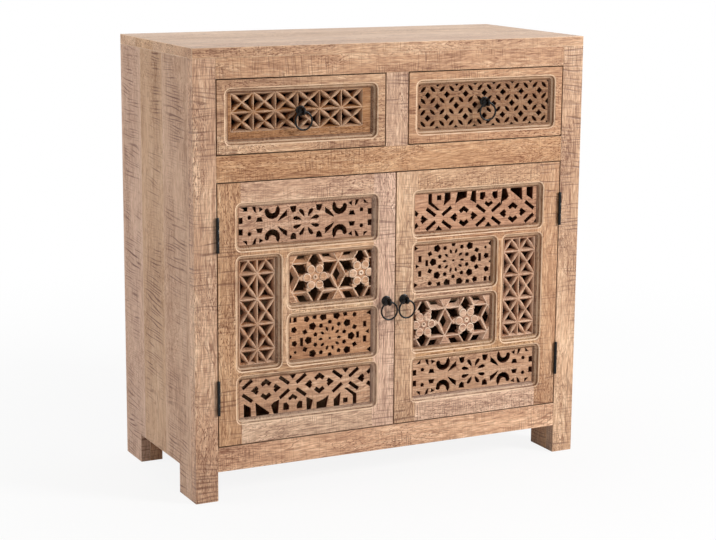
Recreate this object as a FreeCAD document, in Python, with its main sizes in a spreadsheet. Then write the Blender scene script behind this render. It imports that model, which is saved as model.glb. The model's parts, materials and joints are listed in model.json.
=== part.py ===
import FreeCAD, Part
import math
import os
from FreeCAD import Placement, Rotation, Vector

# A mango wood sideboard: two drawers over two hinged doors, with pierced and
# chip-carved jali panels let into the doors and drawer fronts.
# X runs to the right, Y to the back and Z up. The front faces -Y, and the
# origin lies on the floor under the middle of the whole piece.

# Driving dimensions in millimetres
DIMENSIONS = {
    # case
    "case_depth": 400,
    "top_thick": 20,
    "side_thick": 20,
    "stile_width": 48,
    "mullion_width": 50,
    "top_rail": 40,
    "middle_rail": 52,
    "bottom_rail": 50,
    "foot_height": 60,
    "foot_depth": 88,
    "foot_block": 28,
    "floor_thick": 15,
    "deck_thick": 15,
    "shelf_thick": 18,
    "shelf_height": 240,
    "shelf_setback": 20,
    "cleat": 20,
    "divider_thick": 18,
    "guide_high": 30,
    "kicker_clear": 2,
    "stop_thick": 18,
    "stop_clear": 1,
    "stop_drop": 13,
    "back_thick": 8,
    "back_inset": 2,
    "back_rail_thick": 18,
    "back_rail_high": 48,
    # shared gap and the moulded recess round every carved panel
    "gap": 2,
    "front_thick": 24,
    "mould_width": 10.5,
    "recess_deep": 11,
    "recess_corner": 12,
    "panel_thick": 9,
    "panel_lip": 5,
    "panel_play": 0.3,
    # doors
    "door_stile": 38.5,
    "door_rail": 40.5,
    "door_bar": 9,
    "door_muntin": 11,
    "panel_width": 312,
    "star_width": 98.5,
    "scroll_high": 96,
    "flower_high": 116,
    "rosette_high": 108,
    "strap_high": 98,
    # drawers
    "drawer_opening": 148,
    "drawer_margin": 17,
    "drawer_side_thick": 12,
    "drawer_side_head": 18,
    "drawer_side_inset": 0,
    "drawer_back_gap": 18,
    "drawer_bottom_thick": 6,
    "drawer_bottom_lift": 8,
    "run_clear": 0.4,
    # butt hinges
    "hinge_high": 70,
    "hinge_from_end": 100,
    "leaf_thick": 0.8,
    "leaf_clear": 0.4,
    "leaf_deep": 20,
    "knuckle_radius": 3.2,
    "knuckle_clear": 0.3,
    "pin_radius": 1.5,
    "pin_clear": 0.05,
    # ring pulls
    "plate_radius": 10.5,
    "plate_thick": 1.6,
    "dome_radius": 8.5,
    "dome_high": 8,
    "neck_radius": 4.6,
    "eye_wire": 2.8,
    "ring_radius": 18,
    "ring_wire": 2,
    "ring_clear": 0.6,
    "ring_drop": 0.3,
    "ring_apart": 0.5,
    "drawer_pull_lift": 5,
}

# Values worked out from the driving dimensions
LAYOUT = {
    "frame_thick": "dims.front_thick + dims.stop_clear",
    "hinge_gap": "2 * dims.leaf_thick + dims.leaf_clear",
    "axis_out": "dims.knuckle_radius + dims.knuckle_clear",
    "eye_radius": "dims.ring_wire + dims.ring_clear + dims.eye_wire",
    "eye_out": "dims.plate_thick + dims.dome_high + eye_radius",
    "pull_reach": "eye_out + eye_radius + dims.eye_wire",
    "door_width": "2 * dims.door_stile + dims.panel_width",
    "door_member": "dims.door_stile + dims.mould_width",
    "rail_length": "door_width - 2 * door_member",
    "bar_high": "dims.door_bar + 2 * dims.mould_width",
    "door_height": "2 * dims.door_rail + 3 * dims.door_bar + dims.scroll_high"
                   " + dims.flower_high + dims.rosette_high + dims.strap_high",
    "opening_width": "2 * door_width + 2 * hinge_gap + dims.gap",
    "case_width": "opening_width + 2 * dims.stile_width",
    "door_z": "dims.foot_height + dims.bottom_rail + dims.gap",
    "middle_z": "door_z + door_height + dims.gap",
    "drawer_floor": "middle_z + dims.middle_rail",
    "top_rail_z": "drawer_floor + dims.drawer_opening",
    "under_top": "top_rail_z + dims.top_rail",
    "case_height": "under_top + dims.top_thick",
    "front_y": "(pull_reach - dims.case_depth) / 2",
    "frame_back": "front_y + frame_thick",
    "back_y": "front_y + dims.case_depth",
    "panel_front": "back_y - dims.back_inset - dims.back_thick",
    "rail_front": "panel_front - dims.back_rail_thick",
    "inner_depth": "panel_front - frame_back",
    "inner_half": "case_width / 2 - dims.side_thick",
    "stile_inner": "case_width / 2 - dims.stile_width",
    "floor_top": "dims.foot_height + dims.bottom_rail",
    "block_high": "floor_top - dims.floor_thick",
    "shelf_z": "floor_top + dims.shelf_height",
    "shelf_depth": "inner_depth - dims.shelf_setback",
    "guide_depth": "rail_front - frame_back",
    "center_guide": "(dims.mullion_width - dims.divider_thick) / 2",
    "drawer_width": "(opening_width - dims.mullion_width) / 2 - 2 * dims.gap",
    "drawer_high": "dims.drawer_opening - 2 * dims.gap",
    "drawer_z": "drawer_floor + dims.gap",
    "drawer_inner": "drawer_width - 2 * dims.drawer_side_inset - 2 * dims.drawer_side_thick",
    "drawer_side_high": "dims.drawer_opening - dims.drawer_side_head",
    "drawer_box_depth": "guide_depth + dims.stop_clear - dims.drawer_back_gap",
    "drawer_side_z": "dims.run_clear - dims.gap",
    "drawer_bottom_z": "drawer_side_z + dims.drawer_bottom_lift",
    "kicker_z": "drawer_z + drawer_side_z + drawer_side_high + dims.kicker_clear",
    "kicker_over": "dims.gap + dims.drawer_side_inset + dims.drawer_side_thick",
    "knuckle_pitch": "dims.hinge_high / 3",
    "lower_hinge_z": "door_z + dims.hinge_from_end",
    "upper_hinge_z": "door_z + door_height - dims.hinge_from_end",
    "door_x": "stile_inner - hinge_gap",
    "door_pull_x": "dims.ring_radius + dims.ring_wire + dims.ring_apart / 2",
    "door_pull_z": "door_z + door_height / 2",
    "drawer_x": "dims.mullion_width / 2 + dims.gap",
    "drawer_pull_x": "drawer_x + drawer_width / 2",
    "drawer_pull_z": "drawer_z + drawer_high / 2 + dims.drawer_pull_lift",
}

# Openings for the carved panels: left edge, lower edge, width and height,
# measured on the front face of the door or drawer front that holds them
OPENINGS = {
    "strap": ("dims.door_stile", "dims.door_rail", "dims.panel_width", "dims.strap_high"),
    "rosette": ("dims.door_stile + dims.star_width + dims.door_muntin",
                "strap_z + dims.strap_high + dims.door_bar",
                "dims.panel_width - dims.star_width - dims.door_muntin",
                "dims.rosette_high"),
    "flower": ("rosette_x", "rosette_z + dims.rosette_high + dims.door_bar",
               "rosette_wide", "dims.flower_high"),
    "star": ("dims.door_stile", "rosette_z", "dims.star_width",
             "dims.rosette_high + dims.door_bar + dims.flower_high"),
    "scroll": ("dims.door_stile", "flower_z + dims.flower_high + dims.door_bar",
               "dims.panel_width", "dims.scroll_high"),
    "drawer_panel": ("dims.drawer_margin", "dims.drawer_margin",
               "drawer_width - 2 * dims.drawer_margin",
               "drawer_high - 2 * dims.drawer_margin"),
}
DOOR_OPENINGS = ["strap", "rosette", "flower", "star", "scroll"]

# Moulding round a recess, as shares of its width and depth, from rim to floor
MOULDING = [(0, 0), (0.3, 0.5), (0.5, 0.56), (1, 1)]

# How far a cutting tool runs past the face that it opens
OVERRUN = 1
# Least corner radius left at the floor of a recess
LEAST_CORNER = 0.8
# Angles of the points round the corner of a recess
CORNER_STEPS = (0, 30, 60, 90)

# Chip carving: flat ridge left beside a pit, and the pit's inset at the back
RIDGE = 0.8
CHIP = 5.6
# Smallest pit or hole that is worth cutting, by the radius of its inside circle
LEAST_HOLE = 1.0

# Size of each panel's field that its pattern was drawn for
DRAWN_FOR = {"scroll": (291, 75), "star": (77.5, 212), "flower": (181.5, 95),
             "rosette": (181.5, 87), "strap": (291, 77), "drawer_panel": (308, 89)}

# Carved panels run on under the lip of their recess by this much
HIDDEN_EDGE = 2.5

doc = FreeCAD.newDocument("jali_sideboard")


def fill_sheet():
    sheet = doc.addObject("Spreadsheet::Sheet", "dims")
    for row, (alias, value) in enumerate(DIMENSIONS.items(), 1):
        sheet.set(f"A{row}", alias)
        sheet.set(f"B{row}", str(value))
        sheet.setAlias(f"B{row}", alias)
    doc.recompute()
    return sheet


def fill_layout():
    values = doc.addObject("App::VarSet", "layout")
    formulas = dict(LAYOUT)
    for name, opening in OPENINGS.items():
        for side, formula in zip(("x", "z", "wide", "high"), opening):
            formulas[f"{name}_{side}"] = formula
        formulas[f"{name}_floor_wide"] = f"{name}_wide - 2 * dims.mould_width"
        formulas[f"{name}_floor_high"] = f"{name}_high - 2 * dims.mould_width"
    for name in formulas:
        values.addProperty("App::PropertyFloat", name, "Layout")
    for name, formula in formulas.items():
        values.setExpression(name, formula)
    doc.recompute()
    return values


dims = fill_sheet()
layout = fill_layout()


# Building helpers

def place(obj, at, turned=0):
    """Put an object at three expressions, turned about Y by the angle given."""
    obj.Placement = Placement(Vector(), Rotation(Vector(0, 1, 0), turned))
    for axis, formula in zip("xyz", at):
        obj.setExpression(f"Placement.Base.{axis}", formula)
    return obj


def box(label, size, at):
    board = doc.addObject("Part::Box", label)
    for side, formula in zip(("Length", "Width", "Height"), size):
        board.setExpression(side, formula)
    return place(board, at)


def rod(label, radius, high, at):
    """Round iron standing on end, drawn with the flats of a round outline."""
    bar = doc.addObject("Part::Prism", label)
    bar.Polygon = SIDES["round"]
    bar.setExpression("Circumradius", radius)
    bar.setExpression("Height", high)
    return place(bar, at)


def cut(label, base, tool):
    result = doc.addObject("Part::Cut", label)
    result.Base = base
    result.Tool = tool
    return result


def fuse(label, pieces):
    result = doc.addObject("Part::MultiFuse", label)
    result.Shapes = pieces
    return result


def group(label, pieces):
    result = doc.addObject("Part::Compound", label)
    result.Links = pieces
    return result


def shaped(label, shape):
    feature = doc.addObject("Part::Feature", label)
    feature.Shape = shape
    return feature


def instance(label, source, at, turned=0):
    return place(group(label, [source]), at, turned)


# Outlines of pierced holes, in panel coordinates with the middle at (0, 0)

SIDES = {"triangle": 3, "square": 4, "pentagon": 5, "hexagon": 6, "octagon": 8, "petal": 12, "round": 16}


def turn(points, degrees, at=(0, 0)):
    c = math.cos(math.radians(degrees))
    s = math.sin(math.radians(degrees))
    return [(at[0] + c * u - s * v, at[1] + s * u + c * v) for u, v in points]


def polar(radius, degrees, at=(0, 0)):
    angle = math.radians(degrees)
    return (at[0] + radius * math.cos(angle), at[1] + radius * math.sin(angle))


def four_ways(points):
    return [[(a * u, b * v) for u, v in points] for a in (1, -1) for b in (1, -1)]


def regular(form, radius, at=(0, 0), degrees=0):
    sides = SIDES[form]
    return [polar(radius, degrees + 360 * k / sides, at) for k in range(sides)]


def slot(long, wide, at=(0, 0), degrees=0):
    corners = [(-long / 2, -wide / 2), (long / 2, -wide / 2),
               (long / 2, wide / 2), (-long / 2, wide / 2)]
    return turn(corners, degrees, at)


def lens(long, wide, at, degrees):
    shoulder = long / 5
    upper = [(long / 2, 0), (shoulder, wide / 2), (-shoulder, wide / 2)]
    return turn(upper + [(-u, -v) for u, v in upper], degrees, at)


def chevron(arm, wide, slope, at, degrees):
    """A bent slot whose point faces +V before it is turned."""
    c = math.cos(math.radians(slope))
    s = math.sin(math.radians(slope))
    right = [(arm * c, -arm * s), (arm * c - wide * s, -arm * s - wide * c)]
    left = [(-u, v) for u, v in reversed(right)]
    return turn([(0, 0)] + right + [(0, -wide / c)] + left, degrees, at)


def crescent(outer, inner, lift, start, end, at):
    """A horned scroll between two arcs, the inner one lifted off the centre."""
    steps = [start + (end - start) * k / 7 for k in range(8)]
    outside = [polar(outer, a, at) for a in steps]
    inside = [polar(inner, a, (at[0], at[1] + lift)) for a in reversed(steps[1:-1])]
    return outside + inside


def grown(points, share):
    """An outline enlarged about its mean corner."""
    u, v = (sum(p[axis] for p in points) / len(points) for axis in (0, 1))
    return [(u + share * (p[0] - u), v + share * (p[1] - v)) for p in points]


def area(points):
    pairs = zip(points, points[1:] + points[:1])
    return sum(a[0] * b[1] - b[0] * a[1] for a, b in pairs) / 2


def clip(points, half_wide, half_high):
    """The part of an outline that lies inside a centred rectangle."""
    for axis, limit in ((0, half_wide), (0, -half_wide), (1, half_high), (1, -half_high)):
        sign = 1 if limit > 0 else -1
        kept = []
        for a, b in zip(points, points[1:] + points[:1]):
            over_a = sign * (a[axis] - limit)
            over_b = sign * (b[axis] - limit)
            if over_a <= 0:
                kept.append(a)
            if over_a * over_b < 0:
                share = over_a / (over_a - over_b)
                kept.append(tuple(p + share * (q - p) for p, q in zip(a, b)))
        points = kept
        if len(points) < 3:
            return []
    return points


def inset(points, by):
    """A convex outline with every side moved inwards."""
    if area(points) < 0:
        points = points[::-1]
    lines = []
    for a, b in zip(points, points[1:] + points[:1]):
        run = math.dist(a, b)
        normal = ((a[1] - b[1]) / run, (b[0] - a[0]) / run)
        lines.append((normal, normal[0] * a[0] + normal[1] * a[1] + by))
    corners = []
    for (n, d), (m, e) in zip(lines[-1:] + lines[:-1], lines):
        cross = n[0] * m[1] - n[1] * m[0]
        corners.append(((d * m[1] - e * n[1]) / cross, (e * n[0] - d * m[0]) / cross))
    return corners


def inside_radius(points):
    run = sum(math.dist(a, b) for a, b in zip(points, points[1:] + points[:1]))
    return 2 * abs(area(points)) / run


def middle(points):
    """The centre of a triangle's inside circle, or the mean corner of any other outline."""
    weights = [1] * len(points)
    if len(points) == 3:
        weights = [math.dist(points[k - 2], points[k - 1]) for k in range(3)]
    return [sum(w * p[axis] for w, p in zip(weights, points)) / sum(weights) for axis in (0, 1)]


def pit(outline):
    """A chip-carved pit: wide at the face, narrow at the back of the panel."""
    radius = inside_radius(outline)
    front = inset(outline, RIDGE)
    share = max(radius - CHIP, LEAST_HOLE) / (radius - RIDGE)
    u, v = middle(front)
    return front, [(u + share * (p[0] - u), v + share * (p[1] - v)) for p in front]


# The seven jali patterns, each a list of holes as front and back outlines

SCROLL_COMMA = [(0, 11), (2.4, 16.5), (4.2, 23), (2.6, 28.5), (-1.8, 29.5), (-4.2, 25), (-2.6, 17.5)]
SCROLL_COMMA_BEND = 0.011
SCROLL_COMMA_ANGLES = [-21, -64]
SCROLL_CORNER = [(35, 33), (21.5, 33.5), (23, 22.5), (29, 20), (33.5, 25.5)]
SCROLL_DOT = 4.4
SCROLL_FIN = [(42, 26.5), (41.5, 15.5), (62, 5), (57, 13), (50, 20.5)]
SCROLL_MIDDLE = (73.7, 26.6)
SCROLL_CURL = 4.8
SCROLL_LEAF_GROWTH = 1.25
SCROLL_KEYSTONE = [(105.5, 15.6), (97, 15.6), (93.8, 6.7), (108.3, 6.7)]
SCROLL_LEAVES = [[(136, 29.5), (128, 37), (128.5, 30)],
                 [(116, 37), (110, 36), (108.5, 26), (112.5, 29)],
                 [(101.5, 35), (94, 31.5), (100.5, 27)]]


def scroll_holes():
    """Scrolls mirrored about a burst of eight comma slots."""
    bent = [(u + SCROLL_COMMA_BEND * (v - SCROLL_COMMA[0][1]) ** 2, v) for u, v in SCROLL_COMMA]
    quarter = [turn(bent, angle) for angle in SCROLL_COMMA_ANGLES]
    quarter += [SCROLL_CORNER, SCROLL_FIN, SCROLL_KEYSTONE]
    quarter += [grown(leaf, SCROLL_LEAF_GROWTH) for leaf in SCROLL_LEAVES]
    quarter.append(crescent(16.6, 8.4, 3.4, 140, 360, SCROLL_MIDDLE))
    quarter.append(regular("octagon", SCROLL_CURL, polar(11.6, 2, SCROLL_MIDDLE)))
    quarter.append(regular("hexagon", SCROLL_DOT, (122.8, 16.3)))
    quarter.append(slot(12, 8.6, (141.5, 11.5), 90))
    return [(hole, hole) for motif in quarter for hole in four_ways(motif)]


STAR_CELL = (38.5, 51.5)


def star_cell(at, wide, high):
    """The four pits that two crossing ridges leave in one square."""
    u, v = at
    corners = [(u - wide / 2, v - high / 2), (u + wide / 2, v - high / 2),
               (u + wide / 2, v + high / 2), (u - wide / 2, v + high / 2)]
    return [[a, b, at] for a, b in zip(corners, corners[1:] + corners[:1])]


def star_pits(field, columns, rows, about=(0, 0), cell=STAR_CELL):
    """Chip-carved stars on a grid of squares, clipped to the field."""
    pits = []
    for column in range(columns):
        for row in range(rows):
            at = ((column - (columns - 1) / 2) * cell[0] + about[0],
                  (row - (rows - 1) / 2) * cell[1] + about[1])
            for outline in star_cell(at, *cell):
                kept = clip(outline, field[0] / 2, field[1] / 2)
                if kept and inside_radius(kept) > 2 * LEAST_HOLE + RIDGE:
                    pits.append(pit(kept))
    return pits


FLOWER_PITCH = 102.6
FLOWER_FIRST = (-35, 1.5)
FLOWER_TIP = FLOWER_PITCH / math.sqrt(3)
FLOWER_NOTCH = FLOWER_TIP / math.sqrt(3)
FLOWER_KITE = 24
FLOWER_CLEFT = [(22, 6), (25, 13), (28, 21)]
FLOWER_PETAL_AT = 18.3
FLOWER_PETAL = 8.9
FLOWER_SLOPE = 8
FLOWER_TIP_SLOPE = 3.2
FLOWER_RAISE = 2
FLOWER_EYE = 5.6
FLOWER_EYE_HOLE = 2


def flower_centres():
    u, v = FLOWER_FIRST
    return [(u, v), (u + FLOWER_PITCH, v)]


def flower_tip(centre, degrees):
    """The kite in one tip of the six-pointed star round a flower."""
    points = [(FLOWER_TIP, 0), (FLOWER_NOTCH, 30), (FLOWER_KITE, 0), (FLOWER_NOTCH, -30)]
    return [polar(r, degrees + a, centre) for r, a in points]


def flower_cleft(centre, degrees):
    """The gap between two petals, open to the kite beyond it."""
    points = [(16.5, 0)] + FLOWER_CLEFT + [(40, 0)] + [(r, -a) for r, a in reversed(FLOWER_CLEFT)]
    return [polar(r, degrees + a, centre) for r, a in points]


def flower_diamond(centre, degrees):
    """The diamond between two neighbouring stars."""
    between = polar(FLOWER_PITCH / 2, degrees, centre)
    across = FLOWER_PITCH / 2 - FLOWER_NOTCH
    along = FLOWER_TIP / 2
    return turn([(across, 0), (0, along), (-across, 0), (0, -along)], degrees, between)


def flower_holes():
    first, second = flower_centres()
    holes = []
    for centre in (first, second):
        for k in range(6):
            kite = flower_tip(centre, 30 + 60 * k)
            holes.append((inset(kite, RIDGE), inset(kite, FLOWER_TIP_SLOPE)))
            cleft = flower_cleft(centre, 30 + 60 * k)
            holes.append((cleft, cleft))
            if centre is first or k != 3:
                diamond = flower_diamond(centre, 60 * k)
                holes.append((inset(diamond, RIDGE), inset(diamond, FLOWER_SLOPE)))
        eye = regular("hexagon", FLOWER_EYE_HOLE, centre)
        holes.append((eye, eye))
    return holes


ROSETTE_MIDDLE = (-1.4, -7)
ROSETTE_FOLD = 36
ROSETTE_SLOT_AT = 20.5
ROSETTE_LENS = (10.5, 5)
ROSETTE_DOT = 2.6
ROSETTE_RINGS = [("pentagon", 34, 4.8, 18), ("pentagon", 48, 8.4, 0), ("square", 58.5, 6, 18)]
ROSETTE_SLOTS = [(17, 6.4, -63, -2), (13, 6.4, 63, 1), (12, 7, 79, 22), (13, 7, 79, -9),
                 (10, 7, -77.5, 45), (10, 7, -90, 45)]
ROSETTE_ODD = [("pentagon", 6.6, -79.8, 24.4), ("pentagon", 6.4, -79, -4), ("triangle", 5, -90, 9),
               ("square", 3.6, -77, -22), ("square", 5.6, -89.5, -30), ("triangle", 5.5, 86, 6),
               ("triangle", 7, 90, 45), ("triangle", 7, 90, -32), ("pentagon", 6.6, -52, 44),
               ("pentagon", 5.2, 55.5, 44)]


def rosette_holes():
    """Ten-fold rings round a dot, with the edge of the next rosette beside them."""
    holes = [regular("hexagon", ROSETTE_DOT, ROSETTE_MIDDLE)]
    for angle in range(0, 360, ROSETTE_FOLD):
        holes.append(lens(*ROSETTE_LENS, polar(ROSETTE_SLOT_AT, angle, ROSETTE_MIDDLE), angle))
        for form, radius, size, start in ROSETTE_RINGS:
            at = polar(radius, angle + start, ROSETTE_MIDDLE)
            holes.append(regular(form, size, at, angle + start))
    for long, wide, u, v in ROSETTE_SLOTS:
        holes.append(slot(long, wide, (u + ROSETTE_MIDDLE[0], v + ROSETTE_MIDDLE[1]), 90))
    for form, size, u, v in ROSETTE_ODD:
        at = (u + ROSETTE_MIDDLE[0], v + ROSETTE_MIDDLE[1])
        holes.append(regular(form, size, at, 180 if u > 0 else 0))
    return [(hole, hole) for hole in holes]


STRAP_PERIOD = 118.3
STRAP_FIRST = -88
STRAP_ROW = 14
STRAP_SLOPE = 37
# Holes along the lower edge, measured from the nearest knot of the straps
STRAP_HOUSES = [(0, [(-23, -25), (6.5, -48), (6.5, -56), (-21, -56)]),
                (0, [(11, -35), (17, -29), (29, -24.5), (26, -56), (18, -56)]),
                (1, [(-29, -26), (-14.5, -34), (-20, -56), (-28, -56)]),
                (1, [(-6.5, -56), (-6, -40), (8, -36), (21, -28), (15, -56)]),
                (-0.5, [(11, -25), (26, -35), (26, -56), (11, -56)]),
                (0.5, [(-21, -34), (-14, -32), (-8.5, -40), (-9, -48), (-21, -48)]),
                (0.5, [(21, -34), (14, -32), (8.5, -40), (9, -48), (21, -48)]),
                (1.5, [(-27, -39), (-11, -25), (-14, -56), (-26, -56)]),
                (1.5, [(-5, -38), (5, -38), (5, -48), (-5, -48)]),
                (1.5, [(-3, -17), (4, -17), (25, -32), (25, -56), (17, -56), (17, -34)])]


def strap_holes():
    """Straps that cross on a diamond lattice, with house-shaped holes below."""
    holes = []
    for k in (0, 1, 2):
        at = (STRAP_FIRST + k * STRAP_PERIOD, STRAP_ROW)
        for angle, reach in ((0, 21), (180, 22)):
            holes.append(chevron(15, 8.2, STRAP_SLOPE, polar(reach + 0.6, angle + 90, at), angle))
        for angle in (90, 270):
            holes.append(chevron(15, 8.2, 90 - STRAP_SLOPE, polar(32.8, angle + 90, at), angle))
    for k in (-0.5, 0.5, 1.5):
        at = (STRAP_FIRST + k * STRAP_PERIOD, STRAP_ROW)
        for angle in (STRAP_SLOPE, 180 - STRAP_SLOPE, 180 + STRAP_SLOPE, -STRAP_SLOPE):
            holes.append(slot(26, 7.2, polar(23.3, angle, at), angle))
        holes.append([(at[0] - 10, at[1] + 27), (at[0], at[1] + 15), (at[0] + 10, at[1] + 27)])
        if k == 0.5:
            holes.append(chevron(13, 6.6, STRAP_SLOPE, (at[0], at[1] - 16), 0))
    for k, outline in STRAP_HOUSES:
        knot = STRAP_FIRST + k * STRAP_PERIOD
        holes.append([(knot + u, STRAP_ROW + v) for u, v in outline])
    return [(hole, hole) for hole in holes]


DRAWER_STAR_CELL = (47.5, 37.8)
DRAWER_STAR_MIDDLE = (-6, 7)
LATTICE_STEP = (22.1, 23.4)
LATTICE_SQUARE = 7
LATTICE_LENS = (17, 6)


def lattice_holes():
    """Interlaced circles: a square at each centre, a lens where two circles cross."""
    holes = []
    for column in range(-7, 8):
        for row in range(-2, 3):
            u = column * LATTICE_STEP[0]
            v = row * LATTICE_STEP[1]
            if (column + row) % 2:
                holes.append(regular("square", LATTICE_SQUARE, (u, v)))
            for side in (-1, 1):
                if (column + row) % 2 == 0 or row == 2:
                    continue
                at = (u + side * LATTICE_STEP[0] / 2, v + LATTICE_STEP[1] / 2)
                holes.append(lens(*LATTICE_LENS, at, -45 * side))
    return [(hole, hole) for hole in holes]


# Carved panels, each lying at the back of its recess

def layered(rings):
    """A solid through outlines of equal count that lie one behind the other."""
    faces = [Part.Face(Part.makePolygon(ring + ring[:1])) for ring in (rings[0], rings[-1])]
    for near, far in zip(rings, rings[1:]):
        for k in range(len(near)):
            corners = [near[k - 1], near[k], far[k], far[k - 1]]
            faces.append(Part.Face(Part.makePolygon(corners + corners[:1])))
    return Part.Solid(Part.Shell(faces))


def hole_tool(front, back, limits):
    """A cutter through a panel, from its face outline to its back outline."""
    face = dims.recess_deep
    rear = face + dims.panel_thick
    share = OVERRUN / dims.panel_thick
    rings = []
    for y, t in ((face - OVERRUN, -share), (rear + OVERRUN, 1 + share)):
        rings.append([Vector(a[0] + t * (b[0] - a[0]), y, a[1] + t * (b[1] - a[1]))
                      for a, b in zip(front, back)])
    return layered(rings).common(limits)


def fitted(points, opening):
    """A pattern's outline, stretched from the size it was drawn for to its opening."""
    across = getattr(layout, f"{opening}_floor_wide") / DRAWN_FOR[opening][0]
    up = getattr(layout, f"{opening}_floor_high") / DRAWN_FOR[opening][1]
    return [(u * across, v * up) for u, v in points]


def jali(label, opening, holes):
    """A carved panel in door or drawer coordinates, made to fit one opening."""
    edge = "2 * (dims.panel_lip - dims.panel_play)"
    reach = "dims.mould_width - dims.panel_lip + dims.panel_play"
    plate = box(f"{label}_blank",
                (f"layout.{opening}_floor_wide + {edge}", "dims.panel_thick",
                 f"layout.{opening}_floor_high + {edge}"),
                (f"layout.{opening}_x + {reach}", "dims.recess_deep",
                 f"layout.{opening}_z + {reach}"))
    half_wide = getattr(layout, f"{opening}_floor_wide") / 2 + HIDDEN_EDGE
    half_high = getattr(layout, f"{opening}_floor_high") / 2 + HIDDEN_EDGE
    limits = Part.makeBox(2 * half_wide, dims.panel_thick + 4 * OVERRUN, 2 * half_high,
                          Vector(-half_wide, dims.recess_deep - 2 * OVERRUN, -half_high))
    cutters = []
    for outlines in holes:
        front, back = (fitted(outline, opening) for outline in outlines)
        kept = clip(front, half_wide, half_high)
        if kept and inside_radius(kept) > LEAST_HOLE:
            cutters.append(hole_tool(front, back, limits))
    merged = cutters[0].multiFuse(cutters[1:])
    tool = place(shaped(f"{label}_holes", merged),
                 (f"layout.{opening}_x + layout.{opening}_wide / 2", "0",
                  f"layout.{opening}_z + layout.{opening}_high / 2"))
    return cut(f"{label}_panel", plate, tool)


# Recesses for the panels, cut through every member that they touch

def rounded_outline(x, z, wide, high, corner, y):
    """A rectangle at depth y whose corners turn in three short steps."""
    centres = [(x + wide - corner, z + high - corner), (x + corner, z + high - corner),
               (x + corner, z + corner), (x + wide - corner, z + corner)]
    points = [polar(corner, 90 * k + turn_by, centre)
              for k, centre in enumerate(centres) for turn_by in CORNER_STEPS]
    return [Vector(u, y, v) for u, v in points]


def recess_tool(opening, thick):
    """A moulded recess from the front, and the rebate for its panel at the back."""
    x, z, wide, high = (getattr(layout, f"{opening}_{side}") for side in ("x", "z", "wide", "high"))
    corner = max(dims.recess_corner, dims.mould_width + LEAST_CORNER)
    levels = [(0, -OVERRUN)]
    levels += [(dims.mould_width * a, dims.recess_deep * b) for a, b in MOULDING]
    moulded = layered([rounded_outline(x + i, z + i, wide - 2 * i, high - 2 * i, corner - i, y)
                       for i, y in levels])
    side = dims.mould_width - dims.panel_lip
    rebate = Part.makeBox(wide - 2 * side, thick - dims.recess_deep + OVERRUN, high - 2 * side,
                          Vector(x + side, dims.recess_deep, z + side))
    return moulded.fuse(rebate)


# Case

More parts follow.
